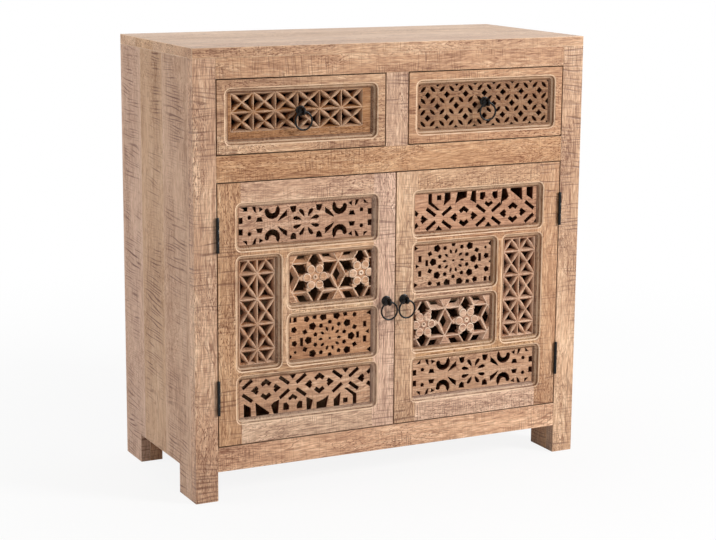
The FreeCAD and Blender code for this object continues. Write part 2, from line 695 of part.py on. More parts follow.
def build_case():
    half = "layout.case_width / 2"
    nodes = [box("top_board", ("layout.case_width", "dims.case_depth", "dims.top_thick"),
                 (f"-{half}", "layout.front_y", "layout.under_top"))]
    side_size = ("dims.side_thick", "dims.case_depth - layout.frame_thick", "layout.under_top")
    for name, x in (("left", f"-{half}"), ("right", f"{half} - dims.side_thick")):
        board = box(f"{name}_side_board", side_size, (x, "layout.frame_back", "0"))
        arch = box(f"{name}_foot_gap",
                   (f"dims.side_thick + 2 * {OVERRUN}", "dims.case_depth - 2 * dims.foot_depth",
                    f"dims.foot_height + {OVERRUN}"),
                   (f"{x} - {OVERRUN}", "layout.front_y + dims.foot_depth", f"-{OVERRUN}"))
        nodes.append(cut(f"{name}_side_panel", board, arch))

    stile_size = ("dims.stile_width", "layout.frame_thick", "layout.under_top")
    nodes.append(group("front_stiles", [
        box("left_stile", stile_size, (f"-{half}", "layout.front_y", "0")),
        box("right_stile", stile_size, ("layout.stile_inner", "layout.front_y", "0"))]))
    for name, high, z in (("top_front_rail", "dims.top_rail", "layout.top_rail_z"),
                          ("middle_front_rail", "dims.middle_rail", "layout.middle_z"),
                          ("bottom_front_rail", "dims.bottom_rail", "dims.foot_height")):
        nodes.append(box(name, ("layout.opening_width", "layout.frame_thick", high),
                         ("-layout.opening_width / 2", "layout.front_y", z)))
    nodes.append(box("drawer_mullion",
                     ("dims.mullion_width", "layout.frame_thick", "dims.drawer_opening"),
                     ("-dims.mullion_width / 2", "layout.front_y", "layout.drawer_floor")))

    blocks = []
    front_deep = "dims.foot_depth - layout.frame_thick"
    rear_deep = "dims.foot_depth - dims.back_inset - dims.back_thick"
    for name, x in (("left", "-layout.inner_half"), ("right", "layout.inner_half - dims.foot_block")):
        for end, deep, y in (("front", front_deep, "layout.frame_back"),
                             ("back", rear_deep, "layout.back_y - dims.foot_depth")):
            blocks.append(box(f"{name}_{end}_foot_block",
                              ("dims.foot_block", deep, "layout.block_high"), (x, y, "0")))
    nodes.append(group("foot_blocks", blocks))

    inner = "2 * layout.inner_half"
    left = "-layout.inner_half"
    rails = [box(f"{name}_back_rail", (inner, "dims.back_rail_thick", "dims.back_rail_high"),
                 (left, "layout.rail_front", z))
             for name, z in (("lower", "layout.floor_top"),
                             ("upper", "layout.under_top - dims.back_rail_high"))]
    nodes.append(group("back_rails", rails))
    nodes.append(box("back_panel", (inner, "dims.back_thick", "layout.under_top - dims.foot_height"),
                     (left, "layout.panel_front", "dims.foot_height")))
    nodes.append(box("cabinet_floor", (inner, "layout.inner_depth", "dims.floor_thick"),
                     (left, "layout.frame_back", "layout.block_high")))
    shelf_y = "layout.frame_back + dims.shelf_setback"
    nodes.append(box("shelf", (inner, "layout.shelf_depth", "dims.shelf_thick"),
                     (left, shelf_y, "layout.shelf_z")))
    nodes.append(group("shelf_cleats", [
        box(f"{name}_cleat", ("dims.cleat", "layout.shelf_depth", "dims.cleat"),
            (x, shelf_y, "layout.shelf_z - dims.cleat"))
        for name, x in (("left", left), ("right", "layout.inner_half - dims.cleat"))]))
    nodes.append(box("drawer_deck", (inner, "layout.inner_depth", "dims.deck_thick"),
                     (left, "layout.frame_back", "layout.drawer_floor - dims.deck_thick")))
    nodes.append(box("door_stop",
                     ("layout.opening_width", "dims.stop_thick",
                      "dims.middle_rail - dims.deck_thick + dims.stop_drop"),
                     ("-layout.opening_width / 2", "layout.frame_back",
                      "layout.middle_z - dims.stop_drop")))
    nodes.append(box("drawer_divider",
                     ("dims.divider_thick", "layout.guide_depth",
                      "layout.under_top - layout.drawer_floor"),
                     ("-dims.divider_thick / 2", "layout.frame_back", "layout.drawer_floor")))
    nodes += build_drawer_rails(left)
    return nodes


def build_drawer_rails(left):
    """Guides beside the drawers, and kickers that keep them from tipping."""
    side_guide = "(dims.stile_width - dims.side_thick)"
    over = "layout.kicker_over"
    strips = [("outer_left", left, side_guide),
              ("inner_left", "-dims.mullion_width / 2", "layout.center_guide"),
              ("inner_right", "dims.divider_thick / 2", "layout.center_guide"),
              ("outer_right", "layout.stile_inner", side_guide)]
    guides = [box(f"{name}_guide", (wide, "layout.guide_depth", "dims.guide_high"),
                  (x, "layout.frame_back", "layout.drawer_floor"))
              for name, x, wide in strips]
    kickers = []
    for name, x, wide in strips:
        shift = f" - {over}" if name in ("inner_left", "outer_right") else ""
        kickers.append(box(f"{name}_kicker",
                           (f"{wide} + {over}", "layout.guide_depth",
                            "layout.under_top - layout.kicker_z"),
                           (f"{x}{shift}", "layout.frame_back", "layout.kicker_z")))
    return [group("drawer_guides", guides), group("drawer_kickers", kickers)]


# Drawers

def build_drawers():
    front_blank = box("drawer_front_blank",
                      ("layout.drawer_width", "dims.front_thick", "layout.drawer_high"),
                      ("0", "0", "0"))
    recess = shaped("drawer_recess", recess_tool("drawer_panel", dims.front_thick))
    front = cut("drawer_front_board", front_blank, recess)
    side_size = ("dims.drawer_side_thick", "layout.drawer_box_depth", "layout.drawer_side_high")
    back_of_front = "dims.front_thick"
    first_side = box("drawer_first_side", side_size,
                     ("dims.drawer_side_inset", back_of_front, "layout.drawer_side_z"))
    second_side = box("drawer_second_side", side_size,
                      ("layout.drawer_width - dims.drawer_side_inset - dims.drawer_side_thick",
                       back_of_front, "layout.drawer_side_z"))
    inner_x = "dims.drawer_side_inset + dims.drawer_side_thick"
    bottom = box("drawer_bottom_board",
                 ("layout.drawer_inner", "layout.drawer_box_depth", "dims.drawer_bottom_thick"),
                 (inner_x, back_of_front, "layout.drawer_bottom_z"))
    back = box("drawer_back_board",
               ("layout.drawer_inner", "dims.drawer_side_thick",
                "layout.drawer_side_high - dims.drawer_bottom_lift - dims.drawer_bottom_thick"),
               (inner_x, f"{back_of_front} + layout.drawer_box_depth - dims.drawer_side_thick",
                "layout.drawer_bottom_z + dims.drawer_bottom_thick"))
    field = (6 * DRAWER_STAR_CELL[0] + 2 * abs(DRAWER_STAR_MIDDLE[0]),
             2 * DRAWER_STAR_CELL[1] + 2 * abs(DRAWER_STAR_MIDDLE[1]))
    stars = jali("drawer_star", "drawer_panel",
                 star_pits(field, 6, 2, DRAWER_STAR_MIDDLE, DRAWER_STAR_CELL))
    lattice = jali("drawer_lattice", "drawer_panel", lattice_holes())

    nodes = []
    for side, x, panel in (("left", "-layout.drawer_x - layout.drawer_width", stars),
                           ("right", "layout.drawer_x", lattice)):
        at = (x, "layout.front_y", "layout.drawer_z")
        for name, pieces in (("front", [front]), ("jali", [panel]),
                             ("sides", [first_side, second_side]),
                             ("back", [back]), ("bottom", [bottom])):
            nodes.append(place(group(f"{side}_drawer_{name}", pieces), at))
    return nodes


# Doors

def build_doors():
    thick = "dims.front_thick"
    member = "layout.door_member"
    recesses = [recess_tool(name, dims.front_thick) for name in DOOR_OPENINGS]
    tool = shaped("door_recesses", Part.makeCompound(recesses))
    right_x = f"layout.door_width - {member}"
    rail_high = "dims.door_rail + dims.mould_width"
    mould = "dims.mould_width"
    members = {
        "hinge_stile": ((member, thick, "layout.door_height"), ("0", "0", "0")),
        "lock_stile": ((member, thick, "layout.door_height"), (right_x, "0", "0")),
        "low_rail": (("layout.rail_length", thick, rail_high), (member, "0", "0")),
        "high_rail": (("layout.rail_length", thick, rail_high),
                      (member, "0", f"layout.door_height - ({rail_high})")),
        "low_bar": (("layout.rail_length", thick, "layout.bar_high"),
                    (member, "0", f"layout.strap_z + layout.strap_high - {mould}")),
        "high_bar": (("layout.rail_length", thick, "layout.bar_high"),
                     (member, "0", f"layout.flower_z + layout.flower_high - {mould}")),
        "muntin": ((f"dims.door_muntin + 2 * {mould}", thick, f"layout.star_high - 2 * {mould}"),
                   (f"layout.star_x + layout.star_wide - {mould}", "0",
                    f"layout.rosette_z + {mould}")),
        "short_bar": ((f"layout.rosette_wide - 2 * {mould}", thick, "layout.bar_high"),
                      (f"layout.rosette_x + {mould}", "0",
                       f"layout.rosette_z + layout.rosette_high - {mould}")),
    }
    made = {name: cut(f"door_{name}", box(f"door_{name}_blank", size, at), tool)
            for name, (size, at) in members.items()}
    pieces = {
        "stiles": [made["hinge_stile"], made["lock_stile"]],
        "end_rails": [made["low_rail"], made["high_rail"]],
        "cross_rails": [made["low_bar"], made["high_bar"]],
        "inner_bars": [made["muntin"], made["short_bar"]],
        "scroll_jali": [jali("door_scroll", "scroll", scroll_holes())],
        "star_jali": [jali("door_star", "star", star_pits(DRAWN_FOR["star"], 2, 5))],
        "flower_jali": [flower_panel()],
        "rosette_jali": [jali("door_rosette", "rosette", rosette_holes())],
        "strap_jali": [jali("door_strap", "strap", strap_holes())],
    }
    # The right door is the left one turned half round in its own plane
    nodes = []
    for side, turned, at in (
            ("left", 0, ("-layout.door_x", "layout.front_y", "layout.door_z")),
            ("right", 180, ("layout.door_x", "layout.front_y",
                            "layout.door_z + layout.door_height"))):
        for name, parts in pieces.items():
            nodes.append(place(group(f"{side}_door_{name}", parts), at, turned))
    return nodes


def flower_pad(outline):
    """A piece that stands proud of the flower jali's face."""
    outline = fitted(outline, "flower")
    kept = clip(outline, layout.flower_floor_wide / 2, layout.flower_floor_high / 2)
    ring = [Vector(u, dims.recess_deep, v) for u, v in kept]
    return Part.Face(Part.makePolygon(ring + ring[:1])).extrude(Vector(0, -FLOWER_RAISE, 0))


def flower_panel():
    """The flower jali: a star lattice with two raised six-petal flowers."""
    lattice = jali("door_flower", "flower", flower_holes())
    pads = []
    for centre in flower_centres():
        for angle in range(0, 360, 60):
            at = polar(FLOWER_PETAL_AT, angle, centre)
            pads.append(flower_pad(regular("petal", FLOWER_PETAL, at, angle)))
        eye = flower_pad(regular("petal", FLOWER_EYE, centre))
        pads.append(eye.cut(flower_pad(regular("hexagon", FLOWER_EYE_HOLE, centre))))
    petals = shaped("door_flower_petals", Part.makeCompound(pads))
    place(petals, ("layout.flower_x + layout.flower_wide / 2", "0",
                   "layout.flower_z + layout.flower_high / 2"))
    return fuse("door_flower_carved", [lattice, petals])


# Butt hinges, measured from the stile's inner face at the middle of the hinge

def hinge_half(label, leaf_x, spans):
    """A leaf with its knuckles, bored for the pin."""
    low = "-dims.hinge_high / 2"
    axis = ("layout.hinge_gap / 2", "-layout.axis_out")
    pieces = [box(f"{label}_plate", ("dims.leaf_thick", "dims.leaf_deep", "dims.hinge_high"),
                  (leaf_x, "0", low))]
    for k in spans:
        z = f"{low} + {k} * layout.knuckle_pitch + dims.knuckle_clear / 2"
        high = "layout.knuckle_pitch - dims.knuckle_clear"
        pieces.append(rod(f"{label}_knuckle_{k}", "dims.knuckle_radius", high, (*axis, z)))
        pieces.append(box(f"{label}_strap_{k}", ("dims.leaf_thick", "layout.axis_out", high),
                          (leaf_x, "-layout.axis_out", z)))
    bore = rod(f"{label}_bore", "dims.pin_radius + dims.pin_clear",
               f"dims.hinge_high + 2 * {OVERRUN}", (*axis, f"{low} - {OVERRUN}"))
    return cut(f"{label}_half", fuse(f"{label}_blank", pieces), bore)


def hinge_pin():
    return rod("hinge_pin_shape", "dims.pin_radius", "dims.hinge_high",
               ("layout.hinge_gap / 2", "-layout.axis_out", "-dims.hinge_high / 2"))


def build_hinges():
    frame_half = hinge_half("frame_leaf", "0", (0, 2))
    door_half = hinge_half("door_leaf", "layout.hinge_gap - dims.leaf_thick", (1,))
    pin = hinge_pin()
    placed = {}
    for side, turned, x in (("left", 0, "-layout.stile_inner"), ("right", 180, "layout.stile_inner")):
        for level in ("lower", "upper"):
            at = (x, "layout.front_y", f"layout.{level}_hinge_z")
            for name, source in (("frame", frame_half), ("door", door_half), ("pin", pin)):
                placed[side, level, name] = instance(f"{side}_{level}_{name}_hinge",
                                                     source, at, turned)
    ends = [(side, level) for side in ("left", "right") for level in ("lower", "upper")]
    nodes = [group("hinge_frame_leaves", [placed[side, level, "frame"] for side, level in ends]),
             group("hinge_pins", [placed[side, level, "pin"] for side, level in ends])]
    for side in ("left", "right"):
        nodes.append(group(f"{side}_door_hinge_leaves",
                           [placed[side, level, "door"] for level in ("lower", "upper")]))
    return nodes


# Ring pulls, measured from the middle of the face that they are fixed to

def forged_ring(radius, wire, section):
    """A ring about the Y axis, of straight facets round a section with flat sides."""
    steps = SIDES["round"]
    rings = []
    for k in range(steps):
        outline = [(polar(radius + out, 360 * k / steps), y) for out, y in regular(section, wire)]
        rings.append([Vector(p[0], y, p[1]) for p, y in outline])
    faces = []
    for near, far in zip(rings, rings[1:] + rings[:1]):
        for k in range(len(near)):
            corners = [near[k - 1], near[k], far[k], far[k - 1]]
            faces.append(Part.Face(Part.makePolygon(corners + corners[:1])))
    return Part.Solid(Part.Shell(faces))


def forged_base():
    """The round plate and its dome, hammered flat in steps, pointing to -Y."""
    levels = [(dims.plate_radius, 0), (dims.plate_radius, dims.plate_thick),
              (dims.dome_radius, dims.plate_thick), (dims.neck_radius, dims.plate_thick + dims.dome_high)]
    plate = layered([[Vector(u, -out, v) for u, v in regular("round", radius)]
                     for radius, out in levels[:2]])
    dome = layered([[Vector(u, -out, v) for u, v in regular("round", radius)]
                    for radius, out in levels[2:]])
    return plate.fuse(dome)


def build_pulls():
    eye = forged_ring(layout.eye_radius, dims.eye_wire, "hexagon")
    eye.Placement = Placement(Vector(0, -layout.eye_out, 0), Rotation(Vector(0, 1, 0), Vector(1, 0, 0)))
    base = shaped("pull_base_shape", forged_base().fuse(eye))
    ring = shaped("pull_ring_shape", forged_ring(dims.ring_radius, dims.ring_wire, "octagon"))
    place(ring, ("0", "-layout.eye_out", "-dims.ring_drop - dims.ring_radius"))
    nodes = []
    for unit, y in (("drawer", "layout.front_y + dims.recess_deep"), ("door", "layout.front_y")):
        for side, sign in (("left", "-"), ("right", "")):
            at = (f"{sign}layout.{unit}_pull_x", y, f"layout.{unit}_pull_z")
            nodes.append(instance(f"{side}_{unit}_pull_base", base, at))
            nodes.append(instance(f"{side}_{unit}_pull_ring", ring, at))
    return nodes


def check(nodes):
    for obj in doc.Objects:
        if "Invalid" in obj.State or "Error" in obj.State:
            raise RuntimeError(f"{obj.Label} failed to build")
    for node in nodes:
        shape = node.Shape
        if shape.isNull() or not shape.isValid() or not shape.Solids:
            raise RuntimeError(f"{node.Label} has no valid solid")


def main():
    nodes = build_case() + build_drawers() + build_doors() + build_hinges() + build_pulls()
    doc.recompute()
    check(nodes)
    os.makedirs("parts", exist_ok=True)
    for node in nodes:
        node.Shape.exportStep(f"parts/{node.Label}.step")
    print(len(nodes), "nodes,", sum(len(node.Shape.Solids) for node in nodes), "solids")


main()
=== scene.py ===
import json
import math
import random

import bmesh
import bpy
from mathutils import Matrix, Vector

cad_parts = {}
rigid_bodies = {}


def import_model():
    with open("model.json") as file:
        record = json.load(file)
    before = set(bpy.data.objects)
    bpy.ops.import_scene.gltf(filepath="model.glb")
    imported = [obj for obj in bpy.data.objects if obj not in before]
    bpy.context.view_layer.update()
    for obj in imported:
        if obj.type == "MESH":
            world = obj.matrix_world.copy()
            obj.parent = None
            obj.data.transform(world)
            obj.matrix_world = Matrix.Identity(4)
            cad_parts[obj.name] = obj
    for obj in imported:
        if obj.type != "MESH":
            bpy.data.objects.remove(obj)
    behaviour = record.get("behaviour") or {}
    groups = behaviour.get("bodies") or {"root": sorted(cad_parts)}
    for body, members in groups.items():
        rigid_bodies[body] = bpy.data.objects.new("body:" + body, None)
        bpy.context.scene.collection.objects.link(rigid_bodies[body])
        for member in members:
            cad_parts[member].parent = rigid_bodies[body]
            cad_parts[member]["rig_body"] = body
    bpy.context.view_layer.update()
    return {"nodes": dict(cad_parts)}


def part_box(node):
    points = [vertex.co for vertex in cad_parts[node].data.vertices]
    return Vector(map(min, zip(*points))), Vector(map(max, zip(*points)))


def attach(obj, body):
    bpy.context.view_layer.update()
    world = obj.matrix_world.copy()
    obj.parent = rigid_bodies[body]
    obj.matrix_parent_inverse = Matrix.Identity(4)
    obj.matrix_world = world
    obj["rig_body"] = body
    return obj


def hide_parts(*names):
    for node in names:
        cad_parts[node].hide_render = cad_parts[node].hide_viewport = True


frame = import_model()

# A mango wood sideboard with jali panels, dressed round its CAD frame.
# Metres; X to the right, Y to the back, Z up; the front faces -Y.

nodes = frame["nodes"]
scene = bpy.context.scene
rng = random.Random(11)
MM = 0.001
QUARTER = math.pi / 2
SIDES = ("left", "right")
AXES = {"X": 0, "Y": 1, "Z": 2}


# Node trees

def srgb(red, green, blue):
    """A screen colour, 0 to 255, as the linear colour that shaders take."""
    def linear(part):
        part /= 255
        return part / 12.92 if part <= 0.04045 else ((part + 0.055) / 1.055) ** 2.4
    return (linear(red), linear(green), linear(blue), 1)


def add(tree, kind, inputs=None, **settings):
    """A new node with its settings made, and its inputs linked or filled in."""
    made = tree.nodes.new(kind)
    for name, value in settings.items():
        setattr(made, name, value)
    for name, value in (inputs or {}).items():
        if isinstance(value, bpy.types.NodeSocket):
            tree.links.new(value, made.inputs[name])
        else:
            made.inputs[name].default_value = value
    return made


def calc(tree, operation, *values):
    return add(tree, "ShaderNodeMath", dict(enumerate(values)), operation=operation).outputs[0]


def stretch(tree, vector, scale):
    return add(tree, "ShaderNodeVectorMath", {0: vector, 1: scale}, operation="MULTIPLY").outputs[0]


def shift(tree, vector, by):
    return add(tree, "ShaderNodeVectorMath", {0: vector, 1: by}, operation="ADD").outputs[0]


def vector_of(tree, x=0, y=0, z=0):
    return add(tree, "ShaderNodeCombineXYZ", {0: x, 1: y, 2: z}).outputs[0]


def parts_of(tree, vector):
    return add(tree, "ShaderNodeSeparateXYZ", {0: vector}).outputs


def noise(tree, vector, scale=(1, 1, 1), detail=2, rough=0.5):
    """Soft noise from 0 to 1, with its own scale along each axis."""
    return add(tree, "ShaderNodeTexNoise", {"Vector": stretch(tree, vector, scale), "Scale": 1,
                                            "Detail": detail, "Roughness": rough}).outputs[0]


def step(tree, value, low, high, to_low=0, to_high=1):
    """A smooth rise from one value to another between two limits."""
    return add(tree, "ShaderNodeMapRange", {0: value, 1: low, 2: high, 3: to_low, 4: to_high},
               interpolation_type="SMOOTHSTEP").outputs[0]


def blend(tree, share, first, second):
    return add(tree, "ShaderNodeMix", {0: share, 6: first, 7: second},
               data_type="RGBA").outputs[2]


def seen_directly(tree):
    """1 for what the eye sees, also in metal and through glass, and 0 for light on the object."""
    light = add(tree, "ShaderNodeLightPath").outputs
    mirrored = calc(tree, "MAXIMUM", light["Is Glossy Ray"], light["Is Transmission Ray"])
    return calc(tree, "MAXIMUM", light["Is Camera Ray"], mirrored)


def new_tree(name, kind, inputs, outputs):
    """A node group with named inputs and outputs, and the sockets inside it."""
    tree = bpy.data.node_groups.new(name, kind)
    for way, sockets in (("INPUT", inputs), ("OUTPUT", outputs)):
        for label, socket in sockets.items():
            tree.interface.new_socket(label, in_out=way, socket_type=f"NodeSocket{socket}")
    given = tree.nodes.new("NodeGroupInput").outputs
    return tree, given, tree.nodes.new("NodeGroupOutput").inputs


def shader_group(name, inputs, outputs):
    return new_tree(name, "ShaderNodeTree", inputs, outputs)


def place_group(tree, shared, inputs):
    return add(tree, "ShaderNodeGroup", inputs, node_tree=shared).outputs


def geometry_group(name, inputs):
    tree, given, out = new_tree(name, "GeometryNodeTree", inputs, {"Geometry": "Geometry"})
    return tree, given, out[0]


def end_tree(tree, geometry, finish, out):
    """Realize what a geometry tree has made, and give it its finish."""
    real = add(tree, "GeometryNodeRealizeInstances", {"Geometry": geometry})
    coated = add(tree, "GeometryNodeSetMaterial", {"Geometry": real.outputs[0],
                                                   "Material": finish})
    tree.links.new(coated.outputs[0], out)
    return tree


def run_tree(tree, **values):
    """The mesh that a geometry tree makes from the values given for its named inputs."""
    blank = bpy.data.objects.new(tree.name, bpy.data.meshes.new(tree.name))
    scene.collection.objects.link(blank)
    modifier = blank.modifiers.new(tree.name, "NODES")
    modifier.node_group = tree
    for item in tree.interface.items_tree:
        if item.in_out == "INPUT":
            modifier[item.identifier] = values[item.name.lower().replace(" ", "_")]
    seen = blank.evaluated_get(bpy.context.evaluated_depsgraph_get())
    made = bpy.data.meshes.new_from_object(seen)
    blank.modifiers.remove(modifier)
    bpy.data.objects.remove(blank)
    return made


# Mango wood. Scales are marks per metre, along the grain and across it.

KNOTS = (2.6, 9, 9)
SWAY = (3, 9, 9)
LAYERS = (2.2, 85, 85)
STREAKS = (24, 400, 400)
CLOUDS = (4, 11, 11)
PORE_PATCHES = (5, 14, 14)
PORES = (150, 560, 560)
VEINS = (4, 26, 26)
FIBRES = (60, 360, 360)
LAYER_SHARE, STREAK_SHARE, CLOUD_SHARE = 0.27, 0.45, 0.28
KNOT_SWIRL = 55 * MM
SWAY_REACH = 60 * MM

SAWN_PATCHES = (6, 9, 9)
PLANED_PATCHES = (7, 18, 18)
LINE_DRIFT = (22, 4, 4)
DRIFT_REACH = 45 * MM
GRIME = 0.16
CHATTER = {"spacing": 5 * MM, "reach": 38, "slope": 0.02}
CHATTER_DEPTH = 0.5

# Painted sheen: the upper face of the top board is blended this far towards a pale grey colour
SHEEN_COLOUR = srgb(212, 192, 176)
SHEEN_SHARE = 0.35
RUBBED_AND_LIT_PATCHES = (25, 60, 60)
GRAIN_DEPTH = 0.25
MARK_DEPTH = 0.5 * MM


def make_mango_figure():
    """Grain of mango wood along X of its vector: layers, streaks, pores, clouds and a few knots."""
    tree, given, out = shader_group("mango figure", {"Grain": "Vector", "Pale": "Color",
                                                     "Tan": "Color", "Brown": "Color"},
                                    {"Colour": "Color", "Height": "Float"})
    grain = given["Grain"]
    spots = add(tree, "ShaderNodeTexVoronoi", {"Vector": stretch(tree, grain, KNOTS),
                                               "Scale": 1}).outputs
    knotty = step(tree, parts_of(tree, spots["Color"])[0], 0.8, 0.82)
    near = calc(tree, "MULTIPLY", step(tree, spots["Distance"], 0.34, 0.03), knotty)
    sway = calc(tree, "MULTIPLY_ADD", noise(tree, grain, SWAY, 3), SWAY_REACH, -SWAY_REACH / 2)
    swirl = calc(tree, "MULTIPLY_ADD", near, KNOT_SWIRL, sway)
    bent = shift(tree, grain, vector_of(tree, 0, swirl, swirl))
    layers = noise(tree, bent, LAYERS, 5, 0.62)
    streaks = noise(tree, bent, STREAKS, 3, 0.6)
    clouds = noise(tree, grain, CLOUDS, 3)
    patch = step(tree, noise(tree, grain, PORE_PATCHES, 2), 0.42, 0.6)
    dots = step(tree, noise(tree, bent, PORES, 1), 0.55, 0.63)
    pores = calc(tree, "MULTIPLY", dots, patch)
    cloudy = calc(tree, "MULTIPLY", clouds, CLOUD_SHARE)
    streaky = calc(tree, "MULTIPLY_ADD", streaks, STREAK_SHARE, cloudy)
    mixed = calc(tree, "MULTIPLY_ADD", layers, LAYER_SHARE, streaky)
    dark_to_tan = blend(tree, step(tree, mixed, 0.35, 0.49), given["Brown"], given["Tan"])
    toned = blend(tree, step(tree, mixed, 0.48, 0.64), dark_to_tan, given["Pale"])
    heart = calc(tree, "MULTIPLY", step(tree, near, 0.55, 0.95), 0.85)
    level = calc(tree, "SUBTRACT", noise(tree, bent, VEINS, 3), 0.5)
    line = step(tree, calc(tree, "ABSOLUTE", level), 0.012, 0.002)
    veins = calc(tree, "MULTIPLY", line, step(tree, clouds, 0.5, 0.6, 0, 0.7))
    fibre = step(tree, noise(tree, bent, FIBRES, 2), 0.56, 0.36, 0, 0.4)
    fine = calc(tree, "MAXIMUM", calc(tree, "MULTIPLY", pores, 0.85), fibre)
    dark = calc(tree, "MAXIMUM", fine, calc(tree, "MAXIMUM", heart, veins))
    tree.links.new(blend(tree, dark, toned, given["Brown"]), out["Colour"])
    tree.links.new(calc(tree, "SUBTRACT", streaks, pores), out["Height"])
    return tree


def lines_across(tree, grain, where, spacing, reach, slope):
    """Rows of fine lines across the grain, each with its own strength and ends."""
    parts = parts_of(tree, grain)
    drift = calc(tree, "MULTIPLY", noise(tree, grain, LINE_DRIFT, 2), DRIFT_REACH)
    slant = calc(tree, "MULTIPLY_ADD", parts[1], slope, drift)
    along = calc(tree, "DIVIDE", calc(tree, "ADD", parts[0], slant), spacing)
    wave = calc(tree, "SINE", calc(tree, "MULTIPLY", along, 2 * math.pi))
    place = vector_of(tree, calc(tree, "MULTIPLY", along, 0.8),
                      calc(tree, "MULTIPLY", parts[1], reach),
                      calc(tree, "MULTIPLY", parts[2], reach))
    strong = step(tree, noise(tree, place), 0.38, 0.6)
    line = calc(tree, "MULTIPLY", step(tree, wave, 0, 0.9), strong)
    return calc(tree, "MULTIPLY", line, where)


def make_saw_marks():
    """Cuts of a frame saw across the grain, in clusters, and the finer chatter of a plane."""
    tree, given, out = shader_group("saw marks", {"Grain": "Vector", "Across": "Float",
                                                  "Spacing": "Float", "Reach": "Float",
                                                  "Slope": "Float", "Margin": "Float"},
                                    {"Mask": "Float", "Chatter": "Float"})
    grain = given["Grain"]
    edge = step(tree, calc(tree, "ABSOLUTE", given["Across"]), 0.5, 0.95)
    kept = calc(tree, "SUBTRACT", 1, calc(tree, "MULTIPLY", edge, given["Margin"]))
    sawn = step(tree, noise(tree, grain, SAWN_PATCHES, 3), 0.34, 0.58)
    cuts = lines_across(tree, grain, sawn, given["Spacing"], given["Reach"], given["Slope"])
    rough = calc(tree, "MAXIMUM", cuts, calc(tree, "MULTIPLY", sawn, GRIME))
    tree.links.new(calc(tree, "MULTIPLY", rough, kept), out["Mask"])
    planed = step(tree, noise(tree, grain, PLANED_PATCHES, 2), 0.47, 0.58)
    elsewhere = shift(tree, grain, (0.5, 0.5, 0.5))
    fine = lines_across(tree, elsewhere, planed, **CHATTER)
    tree.links.new(calc(tree, "MULTIPLY", fine, kept), out["Chatter"])
    return tree


def make_handling():
    """Board to board differences, painted sheen, edges paler from wear and painted highlight, and
    darkening in cuts, recesses and gaps from staining and painted shade.

    A board is a tone, from 0 dark to 1 pale, and a chance each for its hue and its saturation.
    Paler boards are greyer."""
    tree, given, out = shader_group("handling", {"Colour": "Color", "Board": "Vector",
                                                 "Grain": "Vector", "Sheen": "Float",
                                                 "Worn": "Float", "Edge": "Color",
                                                 "Deep": "Float", "Stain": "Color"},
                                    {"Colour": "Color"})
    tone, hue, fullness = parts_of(tree, given["Board"])
    grey = calc(tree, "MULTIPLY_ADD", calc(tree, "MAXIMUM", tone, 0), -0.2, 1.055)
    toned = add(tree, "ShaderNodeHueSaturation",
                {"Color": given["Colour"],
                 "Hue": calc(tree, "MULTIPLY_ADD", hue, 0.008, 0.496),
                 "Saturation": calc(tree, "MULTIPLY_ADD", fullness, 0.14, grey),
                 "Value": calc(tree, "MULTIPLY_ADD", tone, 0.3, 0.85)}).outputs[0]
    # Painted sheen on the upper face of the top
    with_sheen = blend(tree, calc(tree, "MULTIPLY", given["Sheen"], SHEEN_SHARE), toned, SHEEN_COLOUR)
    # Edges paler in patches: wear and painted highlight
    rubbed = step(tree, noise(tree, given["Grain"], RUBBED_AND_LIT_PATCHES, 2), 0.3, 0.6, 0.4, 1)
    edged = blend(tree, calc(tree, "MULTIPLY", rubbed, given["Worn"]), with_sheen, given["Edge"])
    # Staining and painted shade
    tree.links.new(blend(tree, given["Deep"], edged, given["Stain"]), out["Colour"])
    return tree


FIGURE = make_mango_figure()
SAW_MARKS = make_saw_marks()
HANDLING = make_handling()


def new_material(name):
    made = bpy.data.materials.new(name)
    made.use_nodes = True
    return made, made.node_tree, made.node_tree.nodes["Principled BSDF"]


def mango_wood(name, pale, tan, brown, cut, edge, marks, chatter, rough, spacing, reach,
               slope=0.03, margin=0.0, stain=srgb(40, 23, 15)):
    """Waxed mango wood that follows the attributes of its piece.

    Marks and chatter are the strength of the saw's and the plane's lines, whose spacing, reach
    and slope are given. A margin keeps the lines off the edges of a board."""
    made, tree, shader = new_material(name)
    seen = {label: add(tree, "ShaderNodeAttribute", attribute_name=label).outputs
            for label in ("grain", "board", "across", "sheen", "worn", "deep")}
    grain = seen["grain"]["Vector"]
    figure = place_group(tree, FIGURE, {"Grain": grain, "Pale": pale, "Tan": tan, "Brown": brown})
    saw = place_group(tree, SAW_MARKS, {"Grain": grain, "Across": seen["across"]["Fac"],
                                        "Spacing": spacing, "Reach": reach, "Slope": slope,
                                        "Margin": margin})
    planed = blend(tree, calc(tree, "MULTIPLY", saw["Chatter"], chatter), figure["Colour"], cut)
    sawn = blend(tree, calc(tree, "MULTIPLY", saw["Mask"], marks), planed, cut)
    # Darker with depth and in gaps: staining and painted shade
    stained_and_shaded = step(tree, seen["deep"]["Fac"], 0.04, 0.7, 0, 0.95)
    handled = place_group(tree, HANDLING, {"Colour": sawn, "Board": seen["board"]["Vector"],
                                           "Grain": grain, "Sheen": seen["sheen"]["Fac"],
                                           "Worn": seen["worn"]["Fac"], "Edge": edge,
                                           "Deep": stained_and_shaded, "Stain": stain})
    tree.links.new(handled["Colour"], shader.inputs["Base Color"])
    tree.links.new(step(tree, figure["Height"], -0.6, 0.8, rough + 0.1, rough - 0.08),
                   shader.inputs["Roughness"])
    lines = calc(tree, "ADD", saw["Mask"], calc(tree, "MULTIPLY", saw["Chatter"], CHATTER_DEPTH))
    depth = calc(tree, "SUBTRACT", calc(tree, "MULTIPLY", figure["Height"], GRAIN_DEPTH), lines)
    bump = add(tree, "ShaderNodeBump", {"Height": depth, "Strength": 0.8, "Distance": MARK_DEPTH})
    tree.links.new(bump.outputs[0], shader.inputs["Normal"])
    return made


